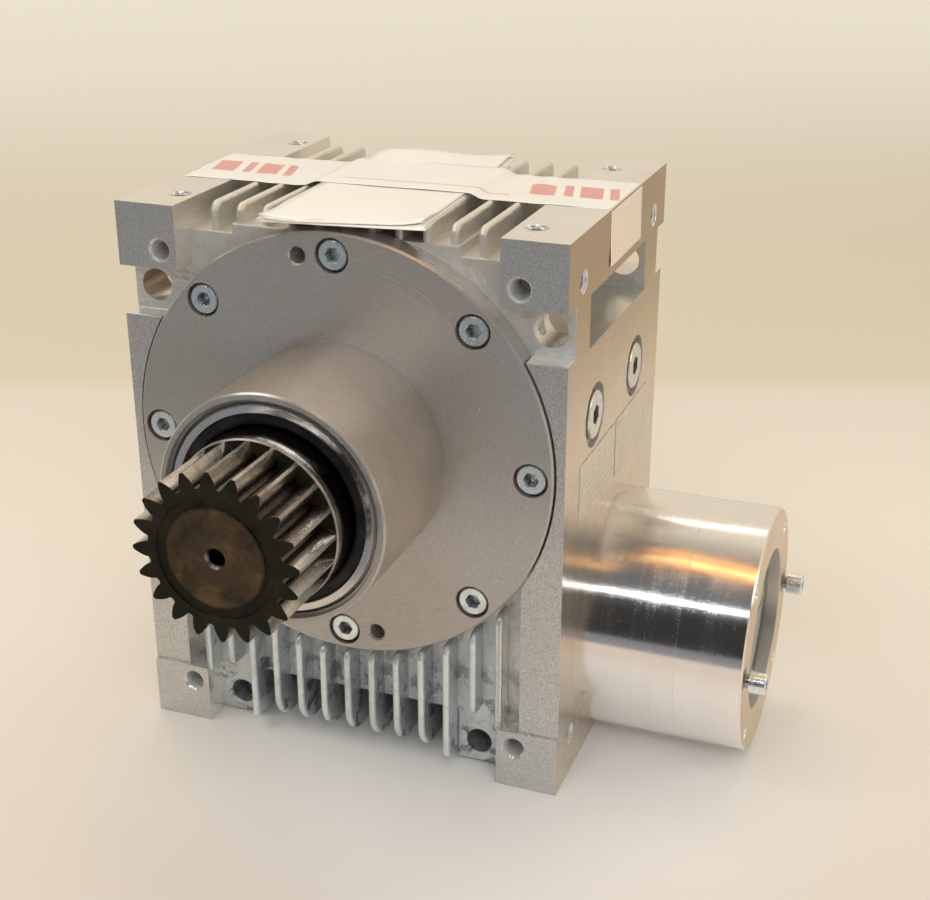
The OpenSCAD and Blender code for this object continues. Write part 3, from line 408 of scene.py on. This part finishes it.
def plated(name, color, roughness, metallic=1.0):
    """Zinc-plated or blackened small steel parts, with shade painted dark inside their sockets and
    recesses.
    """
    look = Look(name, roughness, metallic)
    patch = look.noise(260.0, None, 4.0, 0.6)
    fine = look.noise(1800.0, None, 2.0)
    bluish = [c * f for c, f in zip(color, (0.72, 0.78, 0.86))]
    base = look.mix(look.ramp(patch, 0.35, 0.7, 0.0, 0.5), color, bluish)
    base = look.mix(look.ramp(fine, 0.55, 0.8, 0.0, 0.2), base, (0.30, 0.31, 0.33))
    # Painted shade: the colour turns dark inside sockets and other recesses narrower than 4 mm
    outside_painted_recess_shade = look.ramp(look.open_to_light(4 * MM), 0.25, 0.75)
    look.set("Base Color", look.mix(outside_painted_recess_shade, shade(color, 0.12), base))
    look.set("Roughness", look.plus(roughness - 0.06, look.ramp(patch, 0.3, 0.7, 0.0, 0.16)))
    look.set("Normal", look.bump(fine, 0.02 * MM, 0.5, look.rounded(0.4 * MM)))
    return look.material


def polished():
    """Fine-turned, nearly mirror-bright aluminium about the worm axis; its bore is duller."""
    look = Look("polished_aluminium", metallic=1.0)
    radius, along = look.around("X", WORM_Z)
    wide = look.rings(radius, along, 220.0)
    fine = look.rings(radius, along, 3000.0, 2.0)
    smear = look.noise(26.0, None, 3.0, 0.6, 0.6)
    specks = look.ramp(look.noise(1500.0, None, 2.0, 0.7), 0.50, 0.70)
    end = look.ramp(look.facing()[0], 0.7, 0.9)
    in_bore = look.math("LESS_THAN", radius, ADAPTOR_BORE_R)
    bore = look.times(in_bore, look.math("SUBTRACT", 1.0, end))
    base = look.mix(look.ramp(wide, 0.3, 0.75, 0.0, 0.2), (0.93, 0.91, 0.89), (0.80, 0.78, 0.76))
    base = look.mix(look.ramp(fine, 0.4, 0.8, 0.0, 0.15), base, (0.60, 0.59, 0.58))
    base = look.mix(look.times(end, 0.85), base, (0.68, 0.54, 0.40))
    look.set("Base Color", look.mix(bore, base, (0.78, 0.77, 0.74)))
    rough = look.plus(
        0.13,
        look.ramp(wide, 0.35, 0.7, 0.0, 0.05),
        look.times(specks, 0.10),
        look.ramp(smear, 0.45, 0.75, 0.0, 0.05),
    )
    look.set("Roughness", look.blend(bore, look.blend(end, rough, 0.36), 0.55))
    look.along_rings("X", 0.75)
    look.set("Normal", look.rounded(0.15 * MM))
    return look.material


def gear_steel():
    """Hardened dark steel with bright ground flanks on the pinion and a brown raised disc."""
    look = Look("dark_gear_steel")
    radius, along = look.around("Y", OUTPUT_Z)
    face = look.ramp(look.facing()[1], 0.6, 0.85)
    blotch = look.noise(90.0, None, 5.0, 0.65, 0.5)
    fine = look.noise(1100.0, None, 2.0)

    wear = look.noise(38.0, look.stretched(1.0, 0.25, 1.0), 4.0, 0.6, 0.8)
    grind = look.noise(1.0, look.join(look.times(radius, 3000.0), look.times(along, 40.0), 0.0))
    flank = look.mix(
        look.ramp(blotch, 0.46, 0.70, 0.0, 0.5), (0.62, 0.57, 0.52), (0.20, 0.14, 0.09))
    flank = look.mix(look.ramp(wear, 0.48, 0.66, 0.0, 0.6), flank, (0.17, 0.125, 0.09))
    flank = look.mix(look.ramp(grind, 0.5, 0.8, 0.0, 0.35), flank, (0.30, 0.28, 0.26))
    # Painted shade darkens the tooth roots, and everything behind the first millimetres of the
    # collar is black
    painted_root_shade = look.ramp(radius, 32.8 * MM, 28.5 * MM, 0.0, 0.85)
    collar = look.ramp(along, COLLAR_Y + 3.4 * MM, COLLAR_Y + 4 * MM)
    flank = look.mix(look.math("MAXIMUM", painted_root_shade, collar, True), flank, (0.045, 0.038, 0.034))

    oxide = look.mix(
        look.ramp(blotch, 0.35, 0.7), (0.009, 0.009, 0.005), (0.021, 0.017, 0.009))
    disc = look.times(
        look.ramp(radius, 20.7 * MM, 19 * MM), look.ramp(blotch, 0.3, 0.6, 0.35, 1.0))
    rust = look.mix(
        look.ramp(look.noise(60.0, None, 5.0, 0.7, 0.6), 0.45, 0.65),
        (0.046, 0.030, 0.017), (0.085, 0.052, 0.021))
    color = look.mix(face, flank, look.mix(disc, oxide, rust))
    centre = look.math("LESS_THAN", radius, 4.3 * MM)
    look.set("Base Color", look.mix(centre, color, (0.30, 0.30, 0.31)))
    look.set("Metallic", look.blend(face, 1.0, 0.18))
    look.set("Specular IOR Level", 0.16)
    flank_rough = look.plus(0.20, look.ramp(blotch, 0.4, 0.7, 0.0, 0.14))
    face_rough = look.plus(0.46, look.ramp(fine, 0.4, 0.7, 0.0, 0.2))
    look.set("Roughness", look.blend(face, flank_rough, face_rough))

    turning = look.noise(1.0, look.join(look.times(radius, 1500.0), 0.0, 0.0), 2.0)
    # A band of worn stamping marks on the disc
    band = look.ramp(look.distance(radius, 14.5 * MM), 3 * MM, 2 * MM)
    stamped = look.times(look.ramp(look.cells(420.0), 0.35, 0.6), band)
    height = look.plus(
        look.times(turning, 0.5), look.times(blotch, 1.6), look.times(stamped, 1.4))
    normal = look.bump(height, 0.06 * MM, 0.6, look.rounded(0.4 * MM))
    look.set("Normal", look.bump(fine, 0.03 * MM, 0.4, normal))
    return look.material


def rubber():
    look = Look("rubber")
    fine = look.noise(1500.0)
    smear = look.noise(120.0, None, 4.0)
    base = look.mix(look.ramp(smear, 0.4, 0.75), (0.007, 0.007, 0.007), (0.022, 0.020, 0.019))
    look.set("Base Color", base)
    look.set("Specular IOR Level", 0.3)
    look.set("Roughness", look.plus(0.34, look.ramp(smear, 0.3, 0.7, 0.0, 0.25)))
    look.set("Normal", look.bump(fine, 0.04 * MM, 0.5, look.rounded(0.3 * MM)))
    return look.material


def brushed(name, color, roughness):
    """Inner machined parts: bearing steel, ground steel, brass, bronze, copper."""
    look = Look(name, metallic=1.0)
    fine = look.noise(900.0)
    patch = look.noise(70.0, None, 4.0)
    base = look.mix(look.ramp(patch, 0.3, 0.8, 0.0, 0.4), color, shade(color, 0.7))
    look.set("Base Color", base)
    look.set("Roughness", look.plus(roughness - 0.05, look.ramp(fine, 0.3, 0.7, 0.0, 0.12)))
    look.set("Normal", look.bump(fine, 0.02 * MM, 0.5, look.rounded(0.3 * MM)))
    return look.material


def label():
    """Blank foil label with faint ruled lines."""
    look = Look("label", metallic=0.35)
    line_step = 3.4 * MM
    first_line = 121.5 * MM
    up = look.math("SUBTRACT", look.here()[2], first_line)
    row = look.math("FRACT", look.math("DIVIDE", up, line_step))
    rule = look.math("LESS_THAN", row, 0.16)
    worn = look.noise(300.0, None, 4.0, 0.6)
    gaps = look.ramp(look.noise(90.0, look.stretched(1.0, 1.0, 0.2), 2.0), 0.42, 0.52)
    base = look.mix(look.ramp(worn, 0.4, 0.8, 0.0, 0.3), (0.62, 0.55, 0.47), (0.54, 0.47, 0.40))
    look.set("Base Color", look.mix(look.times(rule, gaps, 0.45), base, (0.30, 0.26, 0.22)))
    look.set("Roughness", look.plus(0.30, look.ramp(worn, 0.3, 0.7, 0.0, 0.2)))
    look.set("Normal", look.bump(worn, 0.02 * MM, 0.4))
    return look.material


def tape():
    """White packing tape with a generic printed pattern: slanted red blocks and thin bars."""
    look = Look("tape")
    along, across, _ = look.split(look.add("ShaderNodeUVMap").outputs[0])
    # The print repeats along the tape; across is measured from its middle
    period = 150 * MM
    repeat = look.times(look.math("FRACT", look.math("DIVIDE", along, period)), period)
    slant = look.plus(repeat, look.times(across, 0.25))
    blocks = 0.0
    for start, width in (
        (5 * MM, 11 * MM), (20 * MM, 4 * MM), (27 * MM, 10 * MM), (40 * MM, 4 * MM)
    ):
        after = look.math("GREATER_THAN", slant, start)
        before = look.math("LESS_THAN", slant, start + width)
        blocks = look.math("MAXIMUM", blocks, look.times(after, before))
    tall = look.math("LESS_THAN", look.math("ABSOLUTE", across), 9.5 * MM)
    # A thin line near one edge, beside the blocks
    on_line = look.math("LESS_THAN", look.distance(across, -14 * MM), 0.6 * MM)
    line = look.times(on_line, look.math("GREATER_THAN", repeat, period / 2))
    wear = look.noise(600.0)
    printed = look.math("MAXIMUM", look.times(blocks, tall), line)
    printed = look.times(printed, look.ramp(wear, 0.25, 0.5, 0.75, 1.0))
    cloud = look.ramp(look.noise(40.0), 0.3, 0.8)
    film = look.mix(cloud, (0.80, 0.765, 0.70), (0.76, 0.72, 0.65))
    # The brown side face shows through where the tape is folded down
    film = look.mix(look.times(look.facing()[0], 0.65), film, (0.68, 0.56, 0.43))
    look.set("Base Color", look.mix(printed, film, (0.66, 0.25, 0.21)))
    look.set("Roughness", look.plus(0.30, look.ramp(wear, 0.3, 0.7, 0.0, 0.05)))
    look.set("Coat Weight", 0.15)
    wrinkle = look.noise(70.0, look.stretched(1.6, 0.5, 1.0), 3.0, 0.6, 0.8)
    look.set("Normal", look.bump(wrinkle, 0.4 * MM, 0.35))
    return look.material


def paper():
    """Folded paper in a thin clear sleeve, with faint pink smudges."""
    look = Look("paper")
    fibre = look.noise(700.0, None, 4.0, 0.7)
    blur = look.noise(38.0, look.stretched(1.0, 1.6, 1.0), 3.0, 0.6, 1.0)
    smudge = look.ramp(blur, 0.60, 0.72, 0.0, 0.22)
    base = look.mix(look.ramp(fibre, 0.3, 0.8, 0.0, 0.3), (0.80, 0.76, 0.69), (0.73, 0.68, 0.60))
    look.set("Base Color", look.mix(smudge, base, (0.80, 0.42, 0.40)))
    look.set("Roughness", look.plus(0.32, look.ramp(fibre, 0.3, 0.7, 0.0, 0.2)))
    look.set("Coat Weight", 0.25)
    crease = look.bump(look.noise(26.0, None, 4.0, 0.6, 0.8), 0.9 * MM, 0.4)
    look.set("Normal", look.bump(fibre, 0.03 * MM, 0.3, crease))
    return look.material


FLANGE_GREY = (0.475, 0.455, 0.43)
FLANGE_BROWN = (0.475, 0.405, 0.33)
COUPLING_GREY = (0.70, 0.70, 0.70)
COUPLING_TINT = (0.6, 0.58, 0.55)
SEAL_BRIGHT = (0.86, 0.85, 0.83)
SEAL_TINT = (0.7, 0.65, 0.6)

MATERIALS = {
    "cast_aluminium": housing_metal(),
    "turned_steel": turned(
        "turned_steel", "Y", OUTPUT_Z, FLANGE_GREY, FLANGE_BROWN, 0.27, boss=True),
    "zinc_screws": plated("zinc_screws", (0.86, 0.92, 0.92), 0.24, metallic=0.93),
    "rubber": rubber(),
    "bearing_steel": brushed("bearing_steel", (0.72, 0.71, 0.70), 0.14),
    "cage_brass": brushed("cage_brass", (0.72, 0.52, 0.24), 0.32),
    "polished_aluminium": polished(),
    "plug_steel": plated("plug_steel", (0.74, 0.74, 0.73), 0.30),
    "washer_copper": brushed("washer_copper", (0.62, 0.36, 0.20), 0.32),
    "label": label(),
    "tape": tape(),
    "paper": paper(),
    "dark_gear_steel": gear_steel(),
    "bronze": brushed("bronze", (0.66, 0.43, 0.18), 0.3),
    "ground_steel": brushed("ground_steel", (0.50, 0.50, 0.51), 0.26),
    "spring_steel": plated("spring_steel", (0.10, 0.10, 0.11), 0.36),
    "coupling_aluminium": turned(
        "coupling_aluminium", "X", WORM_Z, COUPLING_GREY, COUPLING_TINT, 0.3),
}
# Two parts share a slot with others but are turned about another axis, or shinier
OWN_MATERIALS = {
    "worm_end_cap": turned("end_cap_metal", "X", WORM_Z, FLANGE_GREY, FLANGE_BROWN, 0.27),
    "output_seal_case": turned(
        "seal_metal", "Y", OUTPUT_Z, SEAL_BRIGHT, SEAL_TINT, 0.16,
        warm=0.3, anisotropy=0.6, metallic=1.0),
}

for entry in frame["record"]["subparts"]:
    name = entry["node"]
    slots = NODES[name].data.materials
    slots.clear()
    slots.append(OWN_MATERIALS.get(name, MATERIALS[entry["material_slot"]]))


# ---------------------------------------------------------------- paper and tape on the top

def add_mesh(name, rows, uvs, material):
    """A smooth grid of points, with its UVs in metres, as a piece on the housing."""
    mesh = bpy.data.meshes.new(name)
    width = len(rows[0])
    points = [p for row in rows for p in row]
    faces = [
        (i * width + j, i * width + j + 1, (i + 1) * width + j + 1, (i + 1) * width + j)
        for i in range(len(rows) - 1)
        for j in range(width - 1)
    ]
    mesh.from_pydata(points, [], faces)
    layer = mesh.uv_layers.new(name="UVMap")
    flat = [uv for row in uvs for uv in row]
    for loop in mesh.loops:
        layer.data[loop.index].uv = flat[loop.vertex_index]
    mesh.polygons.foreach_set("use_smooth", [True] * len(mesh.polygons))
    mesh.materials.append(material)
    obj = bpy.data.objects.new(name, mesh)
    bpy.context.scene.collection.objects.link(obj)
    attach(obj, "housing")
    return obj


def thicken(obj, thickness):
    solid = obj.modifiers.new("thickness", "SOLIDIFY")
    solid.thickness = thickness
    solid.offset = 1.0


def smooth_step(a, b, x):
    t = min(1.0, max(0.0, (x - a) / (b - a)))
    return t * t * (3 - 2 * t)


SLEEVE_ANGLE = math.radians(9)
SLEEVE_MIDDLE = Vector((-4.9 * MM, -15.3 * MM))
SLEEVE_W, SLEEVE_L = 71 * MM, 126 * MM
SLEEVE_LEAN = 17 * MM
SLEEVE_PAPER = 0.16 * MM
LAYER_RISE = 0.55 * MM
LAYERS = 4
# Air between the metal and the paper or film that lies on it
GAP = 0.12 * MM


def sleeve_height(x, y):
    """How far the sleeve lifts the tape above it at a place on the top."""
    local = (Vector((x, y)) - SLEEVE_MIDDLE)
    local.rotate(Matrix.Rotation(-SLEEVE_ANGLE, 2))
    lean = (local.y / SLEEVE_L + 0.5) * SLEEVE_LEAN
    edge = SLEEVE_W / 2 - abs(local.x - lean)
    return LAYERS * LAYER_RISE * smooth_step(-6 * MM, 1 * MM, edge)


def sleeve_path():
    """Stations along the sheet: place along a layer, level in layers, layer, and narrowing."""
    half = SLEEVE_L / 2
    steps, fold_steps = 28, 6
    fold_bulge = 0.6 * MM
    path = []
    for layer in range(LAYERS):
        forward = layer % 2 == 0
        start = half if forward else -half
        inset = 2.2 * MM * layer * (1.0 if forward else 0.4)
        level = layer + 0.12
        for i in range(steps + 1):
            path.append((start - 2 * start * i / steps, level, layer, inset))
        if layer < LAYERS - 1:
            for k in range(1, fold_steps):
                a = math.pi * k / fold_steps
                along = -start - math.copysign(fold_bulge * math.sin(a), start)
                path.append((along, level + (1 - math.cos(a)) / 2, layer, inset))
    return path


def sleeve_point(along, across, level, layer):
    """Where the sheet is, at a place along and across one of its layers."""
    back = along / SLEEVE_L + 0.5
    lean = back * (SLEEVE_LEAN - 7 * MM * across / SLEEVE_W)
    skew = 1.6 * MM * (layer - 1.5) * across / SLEEVE_W
    local = Vector((across + lean, along + skew))
    local.rotate(Matrix.Rotation(SLEEVE_ANGLE + 0.006 * (layer - 1), 2))
    x, y = SLEEVE_MIDDLE + local
    ripple = noise.noise(Vector((x * 34, y * 34, layer * 0.3))) * 0.3 * MM
    z = TOP + GAP + level * LAYER_RISE + ripple * (0.4 + layer * 0.35)
    # The front fold sinks over the flange, and its outer corners curl up
    sunk = smooth_step(0.0, 1.0, (-58 * MM - y) / (28 * MM))
    corner = smooth_step(22 * MM, 36 * MM, abs(across)) * smooth_step(45 * MM, 69 * MM, -along)
    z += -1.6 * MM * sunk + 0.9 * MM * corner * layer
    # The rear end stands a little open
    open_rear = smooth_step(30 * MM, 66 * MM, along) * (0.6 + 0.5 * math.sin(across * 90 + layer))
    return x, y, z + open_rear * (0.6 + 0.5 * layer) * MM


def document_sleeve():
    """A sheet folded to and fro into four layers; its front fold hangs a little over the flange."""
    columns = 16
    rows, uvs = [], []
    for along, level, layer, inset in sleeve_path():
        sides = [(j / columns - 0.5) * (SLEEVE_W - inset) for j in range(columns + 1)]
        rows.append([sleeve_point(along, across, level, layer) for across in sides])
        uvs.append([(across, along) for across in sides])
    obj = add_mesh("document_sleeve_paper", rows, uvs, MATERIALS["paper"])
    thicken(obj, SLEEVE_PAPER)
    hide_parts("document_sleeve")


TAPE_WIDTH = tape_high.y - tape_low.y
TAPE_START = -97.5 * MM
TAPE_MIDDLE_Y = 2.5 * MM
TAPE_SLOPE = 0.042
TAPE_FILM = 0.08 * MM
TAPE_BEND = 1.2 * MM
TAPE_RUN = RIGHT - TAPE_START - TAPE_BEND
TAPE_CORNER = TAPE_BEND * math.pi / 2
TAPE_DROP = TOP - tape_low.z
TAPE_LENGTH = TAPE_RUN + TAPE_CORNER + TAPE_DROP - TAPE_BEND


def tape_point(s, v, ragged):
    """Where the film is, at a length s from its left end and v from its middle line."""
    y = TAPE_MIDDLE_Y + v + TAPE_SLOPE * (min(s, TAPE_RUN) - TAPE_RUN / 2)
    if s <= TAPE_RUN:
        x = TAPE_START + s - ragged
        under = sleeve_height(x, y)
        # The film spans from crest to crest of the fins, and sags a little between them
        between = math.sin(math.pi * ((x / FIN_PITCH) % 1.0)) ** 2 if abs(x) < RAIL_X else 0.0
        free = 1.0 - smooth_step(0.0, 1 * MM, under)
        sag = 0.5 * MM * between * free * (0.5 + noise.noise(Vector((x * 30, y * 30, 2))))
        wrinkle = 0.22 * MM * noise.noise(Vector((x * 60 + y * 20, y * 25, 5)))
        return x, y, TOP + 0.18 * MM + under - sag + wrinkle
    past = s - TAPE_RUN
    if past <= TAPE_CORNER:
        a = past / TAPE_BEND
        x = RIGHT - TAPE_BEND + TAPE_BEND * math.sin(a)
        z = TOP - TAPE_BEND + TAPE_BEND * math.cos(a)
    else:
        x = RIGHT
        z = TOP - TAPE_BEND - (past - TAPE_CORNER)
    # Its end stands slightly off the side face
    loose = smooth_step(0.4, 1.0, past / TAPE_DROP)
    loose *= 1 + noise.noise(Vector((y * 60, z * 60, 1)))
    return x + GAP + 0.3 * MM * loose, y, z


def packing_tape():
    """One strip across the top, over the sleeve, and folded down the motor side."""
    stations, columns = 230, 24
    rows, uvs = [], []
    for i in range(stations + 1):
        s = TAPE_LENGTH * i / stations
        row, uv_row = [], []
        for j in range(columns + 1):
            side = j / columns - 0.5
            ragged = 3 * MM * side - 0.8 * MM * abs(math.sin(j * 2.1)) if i == 0 else 0.0
            row.append(tape_point(s, side * TAPE_WIDTH, ragged))
            uv_row.append((s, side * TAPE_WIDTH))
        rows.append(row)
        uvs.append(uv_row)
    obj = add_mesh("packing_tape_film", rows, uvs, MATERIALS["tape"])
    thicken(obj, TAPE_FILM)
    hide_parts("packing_tape")


document_sleeve()
packing_tape()


# ---------------------------------------------------------------- camera, floor and light

def camera():
    """At the photograph's viewing angle: to the right of the front, looking down at it."""
    data = bpy.data.cameras.new("camera")
    data.sensor_width = 36.0
    data.lens = 58.75
    data.clip_start = 0.01
    place = Vector((0.2589, -0.6108, 0.4032))
    target = Vector((0.0319, -0.0082, 0.1287))
    obj = bpy.data.objects.new("camera", data)
    obj.location = place
    obj.rotation_euler = (target - place).to_track_quat("-Z", "Y").to_euler()
    bpy.context.scene.collection.objects.link(obj)
    bpy.context.scene.camera = obj


def plane(name, material, left, right, first, second):
    """A rectangle from left to right, between two edges that are given by their Y and Z."""
    mesh = bpy.data.meshes.new(name)
    corners = [(left, *first), (right, *first), (right, *second), (left, *second)]
    mesh.from_pydata(corners, [], [(0, 1, 2, 3)])
    mesh.materials.append(material)
    obj = bpy.data.objects.new(name, mesh)
    bpy.context.scene.collection.objects.link(obj)
    return obj


def floor():
    """Flat pale paper with painted light and shade: darker towards the front, lighter close to the
    gearbox, and lighter past a line behind it, standing for paper that rises there.
    """
    look = Look("floor", 0.75)
    x, y, _ = look.here()
    # Distance along the direction in which the paper runs back
    back = look.plus(look.times(x, -0.353), look.times(y, 0.936))
    wash = look.noise(1.2, None, 2.0)
    # Painted shade: the paper darkens towards the front
    near = look.mix(look.ramp(back, -0.45, 0.15), (0.56, 0.475, 0.425), (0.77, 0.71, 0.61))
    near = look.mix(look.ramp(wash, 0.3, 0.7, 0.0, 0.12), near, (0.64, 0.54, 0.45))
    # Painted light: the paper is lighter close to the gearbox, filling its shadow
    from_foot = look.length(look.math("SUBTRACT", x, 0.06), look.plus(y, 0.03))
    near = look.mix(look.ramp(from_foot, 0.08, 0.20, 0.55, 0.0), near, (0.95, 0.94, 0.92))
    # Painted light: past the line the paper is lighter, and lighter further back, standing for a
    # rising backdrop
    far = look.mix(look.ramp(back, 0.45, 2.0), (0.72, 0.64, 0.49), (0.98, 0.95, 0.85))
    look.set("Base Color", look.mix(look.ramp(back, 0.385, 0.43), near, far))
    # Far off, the paper glows a little, so that it meets the horizon without an edge
    look.set("Emission Color", (0.85, 0.82, 0.66, 1.0))
    look.set("Emission Strength", look.ramp(from_foot, 0.9, 3.5, 0.0, 0.30))
    look.set("Normal", look.bump(look.noise(5.0, None, 2.0), 0.01, 0.06))
    half = 6.0
    z = min(cad_box[0][2], housing_low.z)
    plane("floor", look.material, -half, half, (-half, z), (half, z))


def dark_card(name, left, right, first, second, color):
    """A faintly glowing card in front of the gearbox that only shiny metal reflects: a painted
    reflection of the dim room in front.
    """
    look = Look(name, 1.0)
    look.set("Base Color", (0.0, 0.0, 0.0, 1.0))
    look.set("Specular IOR Level", 0.0)
    look.set("Emission Color", (*color, 1.0))
    look.set("Emission Strength", 1.0)
    card = plane(name, look.material, left, right, first, second)
    card.visible_camera = False
    card.visible_diffuse = False
    card.visible_shadow = False


def add_light(data, name, place, target, power, color, seen_by):
    data.energy = power
    data.color = color
    obj = bpy.data.objects.new(name, data)
    obj.location = place
    obj.rotation_euler = (Vector(target) - Vector(place)).to_track_quat("-Z", "Y").to_euler()
    obj.visible_diffuse = seen_by != "glossy"
    obj.visible_glossy = seen_by != "diffuse"
    bpy.context.scene.collection.objects.link(obj)


def area(name, place, target, size, power, color, seen_by="all"):
    data = bpy.data.lights.new(name, "AREA")
    data.shape = "RECTANGLE"
    data.size, data.size_y = size
    add_light(data, name, place, target, power, color, seen_by)


def room_light(name, place, power, angle, color):
    data = bpy.data.lights.new(name, "SUN")
    data.angle = math.radians(angle)
    add_light(data, name, place, (0, 0, 0), power, color, "diffuse")


def world():
    """Warm room light, brighter behind the gearbox and near the floor, dimmer in front."""
    scene_world = bpy.data.worlds.new("world")
    bpy.context.scene.world = scene_world
    scene_world.use_nodes = True
    room = Graph(scene_world.node_tree)
    background = room.tree.nodes["Background"]
    _, y, z = room.split(room.add("ShaderNodeTexCoord").outputs["Generated"])
    behind = room.ramp(y, -0.15, 0.35, interpolation="LINEAR")
    upper = room.mix(behind, (0.15, 0.15, 0.155), (0.80, 0.70, 0.555))
    above = room.ramp(z, 0.08, 0.22, interpolation="LINEAR")
    room.put(background.inputs["Color"], room.mix(above, (0.74, 0.68, 0.56), upper))
    background.inputs["Strength"].default_value = 1.0


camera()
floor()
CARD_Y = -1.3
LOW_CARD_Z = 0.004
dark_card(
    "low_card", -1.6, 0.9, (CARD_Y, LOW_CARD_Z), (-0.34, LOW_CARD_Z), (0.24, 0.245, 0.26))
dark_card("tall_card", -2.2, 1.6, (CARD_Y, 0.0), (CARD_Y, 1.0), (0.035, 0.034, 0.034))
world()

# Soft light from all round, which shiny metal doesn't mirror
room_light("room", (-0.25, 0.41, 0.91), 0.36, 30, (1.0, 0.97, 0.92))
area("fill", (0.5, -1.5, 1.5), (0, 0, 0.05), (2.2, 1.4), 18, (0.95, 0.98, 1.0), "diffuse")
area("overhead", (-0.4, 0, 2.0), (0, 0, 0), (2.4, 2.4), 12, (1.0, 0.96, 0.90), "diffuse")
area("low_front", (0.9, -0.8, 0.3), (0.12, 0, 0.02), (0.8, 0.3), 4, (0.96, 0.99, 1.0), "diffuse")
# Lamps that light everything
area("key", (-0.9, -0.7, 1.5), (0, 0, 0.15), (0.7, 0.7), 5, (1.0, 0.96, 0.90))
area("side", (1.5, 0.1, 0.9), (0.1, 0, 0.12), (0.5, 1.0), 3, (1.0, 0.86, 0.70))
area("flash", (0.05, -0.64, 0.57), (0.1, 0, 0.09), (0.7, 0.020), 0.7, (0.93, 0.97, 1.0))
# Narrow lamps that only show as streaks along the motor adaptor
ADAPTOR_TOP = (0.1, -0.05, 0.06)
area("strip", (-0.3, 0.45, 1.1), (0.1, 0, 0.06), (1.6, 0.050), 0.9, (1.0, 0.95, 0.87), "glossy")
area("lamp", (-0.1, -0.20, 1.3), ADAPTOR_TOP, (1.6, 0.20), 1.6, (1.0, 0.40, 0.07), "glossy")
area("lamp_core", (-0.1, -0.27, 1.28), ADAPTOR_TOP, (1.6, 0.03), 0.5, (1.0, 0.72, 0.34), "glossy")
bpy.context.scene.view_settings.view_transform = "Standard"
